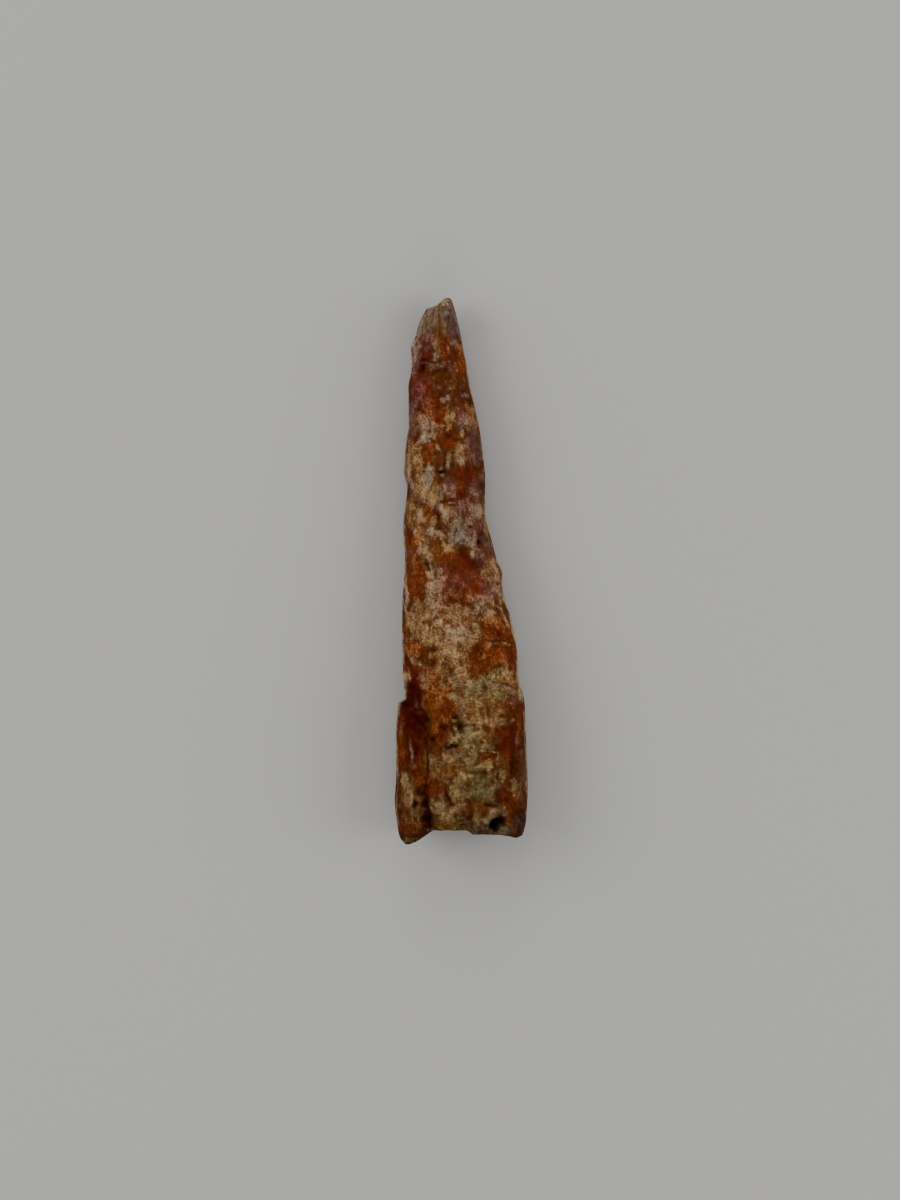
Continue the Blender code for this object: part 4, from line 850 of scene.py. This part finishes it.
# An ink as linear light, by the usual screen curve
def inkColour(name):
    seen = np.array(inks[name]) / 255
    return np.where(seen > 0.04045, ((seen + 0.055) / 1.055) ** 2.4, seen / 12.92) / evenLight


# How light a colour looks: three tenths of its red, six of its green and one of its blue
def brightness(colour):
    return colour @ np.array([0.3, 0.6, 0.1])


# Lays an ink over what is there, by its cover
def layInk(colour, ink, cover):
    colour += cover[..., None] * (inkColour(ink) - colour)


# One patch: full inside an ellipse that leans, gone outside it, with a frayed edge
def layPatch(colour, across, up, fray, soft, ink, x, u, halfX, halfU, strength, lean=0.0):
    turned = np.radians(lean)
    dx, du = across - x, up - u
    away = np.hypot((dx * np.cos(turned) - du * np.sin(turned)) / halfX,
                    (dx * np.sin(turned) + du * np.cos(turned)) / halfU)
    soft = soft + paint["blur"] / min(halfX, halfU)
    layInk(colour, ink, strength * (1 - ramp(away + fray, 1 - soft, 1 + soft)))


# The ground, then the washes, the patches, the streaks and the painted shade in the grooves
def layStains(across, up, points):
    colour = np.empty(points.shape)
    colour[:] = inkColour(paint["ground"])
    fray = paint["fray"] * fractalNoise(points, paint["fraySize"], 31)
    fleck = paint["fleck"] * fractalNoise(points, paint["fleckSize"], 35, 2)
    for ink, *place in washes:
        strength = paint["deepStrength"] if ink in deepInks else paint["washStrength"]
        layPatch(colour, across, up, paint["washFray"] * fray, paint["washSoft"], ink, *place, strength)
    for ink, x, u, halfX, halfU, *own in sum(patches.values(), []):
        ragged = min(1.0, min(halfX, halfU) / paint["smallPatch"]) * fray + fleck
        # the painted shadow in the pits frays less
        if ink == "black":
            ragged = paint["pitShadowFray"] * ragged
        own = own or [paint["deepStrength"] if ink in deepInks else paint["patchStrength"]]
        layPatch(colour, across, up, ragged, paint["patchSoft"], ink, x, u, halfX, halfU, *own)
    for ink, half, strength, route in streaks:
        away = routeDistance(across, up, route) / half + paint["streakFray"] * fray + fleck
        layInk(colour, ink, strength * (1 - ramp(away, *paint["streakEdge"])))
    # umber along the grooves, darker the deeper they are: painted shade in the grooves
    for depth, half, route in grooves:
        away = routeDistance(across, up, route) / half + paint["grooveFray"] * fray
        cover = paint["grooveShade"] * depth * (1 - ramp(away, *paint["grooveEdge"]))
        layInk(colour, paint["grooveShadeInk"], cover)
    return colour


# Mottles the stains with darker and paler grains, drawn out into wisps on the upper crown, and
# lays cream on the ridges
def mottle(colour, points, grainy):
    grains = fractalNoise(points, paint["mottleSize"], 61)
    wisps = fractalNoise(points, paint["wispSize"], 65)
    field = np.clip(paint["mottle"] * between(wisps, grains, grainy), -1.0, 1.0)[..., None]
    bright = brightness(colour)[..., None]
    paleInk = between(inkColour("rose"), inkColour("chalk"), ramp(bright, *paint["chalkFrom"]))
    paler = between(colour, paleInk, paint["paleTint"] * ramp(bright, *paint["palerFrom"]))
    rusty = between(colour, inkColour("rust"), paint["rustShare"] * ramp(bright, *paint["rustyFrom"]))
    darker = rusty * np.array(paint["darkTint"])
    mottled = np.where(field > 0, between(colour, paler, field), between(colour, darker, -field))
    share = paint["ridge"] * ridges(points) * grainy * ramp(bright[..., 0], *paint["ridgeFrom"])
    return between(mottled, inkColour("cream"), share[..., None])


# The broken end: umber, brown and some sand in the hollow, darkened there as painted shade, ochre and sand on
# the wall's end
def brokenPaint(rings, outward):
    blotch = fractalNoise(rings, brokenEnd["blotchSize"], 52)[..., None]
    inHollow = between(inkColour("umber"), inkColour("brown"), ramp(blotch, *brokenEnd["brownFrom"]))
    inHollow = between(inHollow, inkColour("sand"), ramp(blotch, *brokenEnd["sandFrom"]))
    onWall = between(inkColour("ochre"), inkColour("sand"), ramp(blotch, *brokenEnd["wallSandFrom"]))
    uneven = brokenEnd["wallWander"] * fractalNoise(rings, brokenEnd["wallSize"], 54)
    wall = ramp(outward + uneven, *brokenEnd["wallFrom"])[..., None]
    # the hollow's inks are darkened as painted shade in the hollow
    return between(brokenEnd["hollowPaintedShade"] * inHollow, onWall, wall)


# The stains as seen from above and, shifted and mirrored, from below, with pale chalk along the side edges
# between them (a painted highlight of the light on the edges, in part paler wear), mottled, with painted
# shade where the relief is sunk and painted highlight where it stands out
def toothPaint(rings, angle, outward, relief):
    wander = [paint["wander"] * latticeNoise(rings, paint["wanderSize"], seed)
              + paint["jitter"] * latticeNoise(rings, paint["jitterSize"], seed + 3) for seed in (21, 22)]
    up = rings[..., 1]
    colour = layStains(paintAcross(rings, fromBelow=False) + wander[0], up + wander[1], rings)
    middle = (rings[..., 0].min(axis=1, keepdims=True) + rings[..., 0].max(axis=1, keepdims=True)) / 2
    mirrored = 2 * middle - paintAcross(rings, fromBelow=True)
    below = layStains(mirrored + wander[0], up + paint["underShift"] + wander[1], rings)
    under = np.sin(angle) + paint["underWander"] * fractalNoise(rings, paint["underSize"], 51)
    colour = between(below, colour, ramp(under, *paint["underFrom"])[..., None])

    # pale chalk along the side edges: painted highlight of the light on the edges, in part paler worn edge
    uneven = fractalNoise(rings, paint["rimSize"], 53)
    rim = paint["rim"] * ramp(np.abs(np.cos(angle)), *paint["rimFrom"])
    rim = rim * np.clip(paint["rimMean"] + paint["rimContrast"] * uneven, 0.0, 1.0)
    rim = rim * ramp(np.sin(angle) + paint["rimWander"] * uneven, *paint["rimLower"])
    layInk(colour, "chalk", rim)
    grainy = smoothBetween(surface["grainyAlong"], up)
    colour = mottle(colour, rings, grainy) * smoothBetween(paint["tone"], up)[..., None]
    colour[..., 2] *= smoothBetween(paint["blue"], up)
    colour = np.where(outward[..., None] < 1.0, brokenPaint(rings, outward), colour)
    # painted shade where the relief is sunk, painted highlight where it stands out
    return colour * (1 + np.clip(relief / paint["reliefDepth"], *paint["reliefShadeAndHighlight"]))[..., None]


# How the finish varies: grainy, pale flecks, dark flecks
def toothFinish(up, colour):
    bright = brightness(colour)
    flecks = smoothBetween(surface["flecksAlong"], up)
    pale = flecks * ramp(bright, *surface["paleFlecksFrom"])
    dark = flecks * between(surface["leastDarkFlecks"], 1.0, ramp(bright, *surface["darkFlecksFrom"]))
    return np.stack([smoothBetween(surface["grainyAlong"], up), pale, dark], axis=-1)


# the fossil's finish over the stains; scales are cells per metre, a pair is where something sets
# in and where it is full
fossil = {
    "speckScale": 5600.0, "streakScale": 5600.0, "streakStretch": 0.35,
    "darkFleck": 0.90, "darkFleckFrom": (0.47, 0.62), "darkFleckTint": (0.40, 0.33, 0.28),
    "fleckScale": 7000.0, "paleFleck": 0.80, "paleFleckFrom": (0.50, 0.68),
    "litTint": (2.05, 2.0, 1.9), "paleInk": (0.45, 0.35, 0.20), "paleInkShare": 0.6,
    "gritScale": 3600.0, "grit": 0.35, "gritInk": (0.50, 0.42, 0.30),
    "gritTo": (0.16, 0.34), "gritCells": (0.60, 0.64),
    "seamScale": 3000.0, "seamShade": 0.4, "seamWidth": 0.16, "seamTint": (0.45, 0.36, 0.30),
    "cloudScale": 700.0, "cloudFrom": (0.30, 0.70), "cloudShade": (0.82, 1.18),
    "roughFrom": (0.35, 0.65), "rough": (0.55, 0.8), "specular": 0.02,
    "bumpDepth": 0.00005, "bumpStrength": 0.8, "fleckBump": 0.5, "patternBump": 0.8, "seamBump": 0.8,
}


def fossilMaterial():
    material = bpy.data.materials.new("stainedFossil")
    material.use_nodes = True
    nodes, links = material.node_tree.nodes, material.node_tree.links
    shader = nodes["Principled BSDF"]

    # a node with its settings, and its inputs by name or place, each a value or another's output
    def add(kind, output, inputs, **settings):
        node = nodes.new("ShaderNode" + kind)
        for name, value in settings.items():
            setattr(node, name, value)
        for socket, value in inputs.items():
            if isinstance(value, bpy.types.NodeSocket):
                links.new(value, node.inputs[socket])
            else:
                node.inputs[socket].default_value = value
        return node.outputs[output]

    def maths(operation, first, second):
        return add("Math", 0, {0: first, 1: second}, operation=operation)

    def product(first, *others):
        for other in others:
            first = maths("MULTIPLY", first, other)
        return first

    def noise(vector, scale, detail=3.0, roughness=0.6):
        given = {"Vector": vector, "Scale": scale, "Detail": detail, "Roughness": roughness}
        return add("TexNoise", 0, given)

    def spread(value, span, out=(0.0, 1.0)):
        given = dict(enumerate((value, *span, *out)))
        return add("MapRange", 0, given, interpolation_type="SMOOTHSTEP")

    def mix(share, first, second, blend="MIX"):
        given = {0: share, 6: first, 7: second}
        return add("Mix", 2, given, data_type="RGBA", blend_type=blend)

    def tinted(colour, tint):
        return mix(1.0, colour, (*tint, 1.0), "MULTIPLY")

    def voronoi(scale, **settings):
        return add("TexVoronoi", "Distance", {"Vector": place, "Scale": scale}, **settings)

    place = nodes.new("ShaderNodeTexCoord").outputs["Object"]
    stretched = add("Mapping", 0, {"Vector": place, "Scale": (1.0, fossil["streakStretch"], 1.0)})
    stain = add("Attribute", "Color", {}, attribute_name="stain")
    finish = add("Attribute", "Vector", {}, attribute_name="finish")
    grainy, pale, dark = add("SeparateXYZ", 0, {0: finish}).node.outputs

    specks = noise(place, fossil["speckScale"])
    pattern = mix(grainy, noise(stretched, fossil["streakScale"]), specks)
    flecks = noise(place, fossil["fleckScale"], detail=2.0)
    clouds = noise(place, fossil["cloudScale"], detail=4.0)
    seams = voronoi(fossil["seamScale"], feature="DISTANCE_TO_EDGE")
    grit = voronoi(fossil["gritScale"])
    chance = add("SeparateXYZ", 0, {0: grit.node.outputs["Color"]})

    share = product(spread(pattern, fossil["darkFleckFrom"]), dark, fossil["darkFleck"])
    colour = mix(share, stain, tinted(stain, fossil["darkFleckTint"]))
    share = product(pale, fossil["paleInkShare"])
    lit = mix(share, tinted(stain, fossil["litTint"]), (*fossil["paleInk"], 1.0))
    share = product(spread(flecks, fossil["paleFleckFrom"]), dark, fossil["paleFleck"])
    colour = mix(share, colour, lit)
    share = product(spread(grit, fossil["gritTo"], (1.0, 0.0)), spread(chance, fossil["gritCells"]))
    share = product(share, pale, fossil["grit"])
    colour = mix(share, colour, (*fossil["gritInk"], 1.0))
    seamShare = product(spread(seams, (0.0, fossil["seamWidth"]), (1.0, 0.0)), grainy, fossil["seamShade"])
    colour = mix(seamShare, colour, tinted(colour, fossil["seamTint"]))
    colour = mix(1.0, colour, spread(clouds, fossil["cloudFrom"], fossil["cloudShade"]), "MULTIPLY")
    links.new(colour, shader.inputs["Base Color"])

    links.new(spread(pattern, fossil["roughFrom"], fossil["rough"]), shader.inputs["Roughness"])
    shader.inputs["Specular IOR Level"].default_value = fossil["specular"]
    height = maths("ADD", product(flecks, fossil["fleckBump"]), product(pattern, fossil["patternBump"]))
    height = maths("SUBTRACT", height, product(seamShare, fossil["seamBump"]))
    bump = {"Strength": fossil["bumpStrength"], "Distance": fossil["bumpDepth"], "Height": height}
    links.new(add("Bump", 0, bump), shader.inputs["Normal"])
    return material


# Quads between neighbouring rings, and a fan of triangles at each end point
def ringFaces(ringCount, columns):
    column = np.arange(columns)
    after = (column + 1) % columns
    first = 1 + np.arange(ringCount - 1)[:, None] * columns
    second = first + columns
    quads = np.stack([first + column, second + column, second + after, first + after], axis=-1)
    last, tip = 1 + (ringCount - 1) * columns, 1 + ringCount * columns
    floorFan = np.stack([np.zeros_like(column), 1 + column, 1 + after], axis=1)
    tipFan = np.stack([np.full_like(column, tip), last + after, last + column], axis=1)
    return quads.reshape(-1, 4).tolist() + floorFan.tolist() + tipFan.tolist()


# The values of all rings in one list, between the mean of the first ring and that of the last
def withPoles(values):
    flat = values.reshape(-1, values.shape[-1])
    return np.concatenate([[values[0].mean(axis=0)], flat, [values[-1].mean(axis=0)]])


def placeObject(name, data):
    placed = bpy.data.objects.new(name, data)
    bpy.context.scene.collection.objects.link(placed)
    return placed


# The plain rings moved out along their normals by the fine relief, closed at both ends, laid flat
# on the ground and fitted into the CAD solid's box
def makeTooth():
    rings, angle, outward = plainRings()
    print("tooth rings:", rings.shape[0], "of", rings.shape[1], "points")
    relief = fineRelief(rings, paintAcross(rings, fromBelow=False), rings[..., 1], angle, outward)
    colour = toothPaint(rings, angle, outward, relief)
    finish = toothFinish(rings[..., 1], colour)
    print("stains laid:", len(washes) + sum(map(len, patches.values())) + len(streaks))

    points = withPoles(rings + relief[..., None] * ringNormals(rings))
    points[-1, 1] = tooth["length"]
    points[:, 2] = np.maximum(points[:, 2], 0.0)
    low, high = (np.array(corner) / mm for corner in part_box("tooth"))
    ownLow, ownHigh = points.min(axis=0), points.max(axis=0)
    fit = np.minimum((high - low) / (ownHigh - ownLow), 1.0)
    points = (points - (ownLow + ownHigh) / 2) * fit + (low + high) / 2
    points[:, 2] -= points[:, 2].min() - low[2]

    mesh = bpy.data.meshes.new("stainedTooth")
    mesh.from_pydata((points * mm).tolist(), [], ringFaces(rings.shape[0], rings.shape[1]))
    stain = mesh.color_attributes.new("stain", "FLOAT_COLOR", "POINT")
    stain.data.foreach_set("color", np.c_[withPoles(colour), np.ones(len(points))].ravel())
    varied = mesh.attributes.new("finish", "FLOAT_VECTOR", "POINT")
    varied.data.foreach_set("vector", withPoles(finish).ravel())
    mesh.shade_smooth()
    mesh.materials.append(fossilMaterial())
    return placeObject("stainedTooth", mesh)


# the photograph's view: looking straight down, with the tip away
camera = {"across": -0.78, "along": -2.12, "height": 2.8, "frameHeight": 83.36, "sensor": 36.0,
          "lens": 100.0, "clip": (0.01, 10.0)}


# As high above the tooth as the frame's height times the lens over the sensor
def addCamera():
    lens = bpy.data.cameras.new("overheadCamera")
    lens.lens = camera["lens"]
    lens.sensor_width = camera["sensor"]
    lens.clip_start, lens.clip_end = camera["clip"]
    placed = placeObject("overheadCamera", lens)
    away = camera["lens"] / camera["sensor"] * camera["frameHeight"]
    placed.location = (camera["across"] * mm, camera["along"] * mm, (camera["height"] + away) * mm)
    bpy.context.scene.camera = placed


# the studio: soft lamps low on both sides, weaker ones at the ends, and a pale floor
studio = {
    "floorColour": (0.72, 0.71, 0.69), "floorRough": 0.9, "floorSpecular": 0.1,
    "floorDrop": 0.02, "floorSize": 3000.0,
    "worldColour": (1.0, 1.0, 1.0), "worldStrength": 0.30,
    # (name, across, along, height, size, watts)
    "lamps": [
        ("leftLamp", -290.0, 80.0, 230.0, 260.0, 0.42),
        ("rightLamp", 300.0, -20.0, 220.0, 260.0, 0.34),
        ("nearLamp", 20.0, -320.0, 210.0, 240.0, 0.16),
        ("farLamp", -40.0, 330.0, 230.0, 240.0, 0.18),
    ],
}


def addStudio():
    half, drop = studio["floorSize"] / 2 * mm, studio["floorDrop"] * mm
    mesh = bpy.data.meshes.new("floor")
    corners = [(-half, -half, -drop), (half, -half, -drop), (half, half, -drop), (-half, half, -drop)]
    mesh.from_pydata(corners, [], [(0, 1, 2, 3)])
    material = bpy.data.materials.new("paleFloor")
    material.use_nodes = True
    shader = material.node_tree.nodes["Principled BSDF"]
    shader.inputs["Base Color"].default_value = (*studio["floorColour"], 1.0)
    shader.inputs["Roughness"].default_value = studio["floorRough"]
    shader.inputs["Specular IOR Level"].default_value = studio["floorSpecular"]
    mesh.materials.append(material)
    placeObject("floor", mesh)
    for name, across, along, height, size, watts in studio["lamps"]:
        light = bpy.data.lights.new(name, "AREA")
        light.shape = "DISK"
        light.size = size * mm
        light.energy = watts
        lamp = placeObject(name, light)
        lamp.location = (across * mm, along * mm, height * mm)
        lamp.rotation_euler = (-Vector(lamp.location)).to_track_quat("-Z", "Y").to_euler()
        lamp.visible_camera = False
    world = bpy.data.worlds.new("studioAir")
    world.use_nodes = True
    air = world.node_tree.nodes["Background"]
    air.inputs["Color"].default_value = (*studio["worldColour"], 1.0)
    air.inputs["Strength"].default_value = studio["worldStrength"]
    bpy.context.scene.world = world


addCamera()
addStudio()
print("camera and studio placed")

piece = makeTooth()
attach(piece, "root")
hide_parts("tooth")
print("tooth made:", len(piece.data.polygons), "faces")
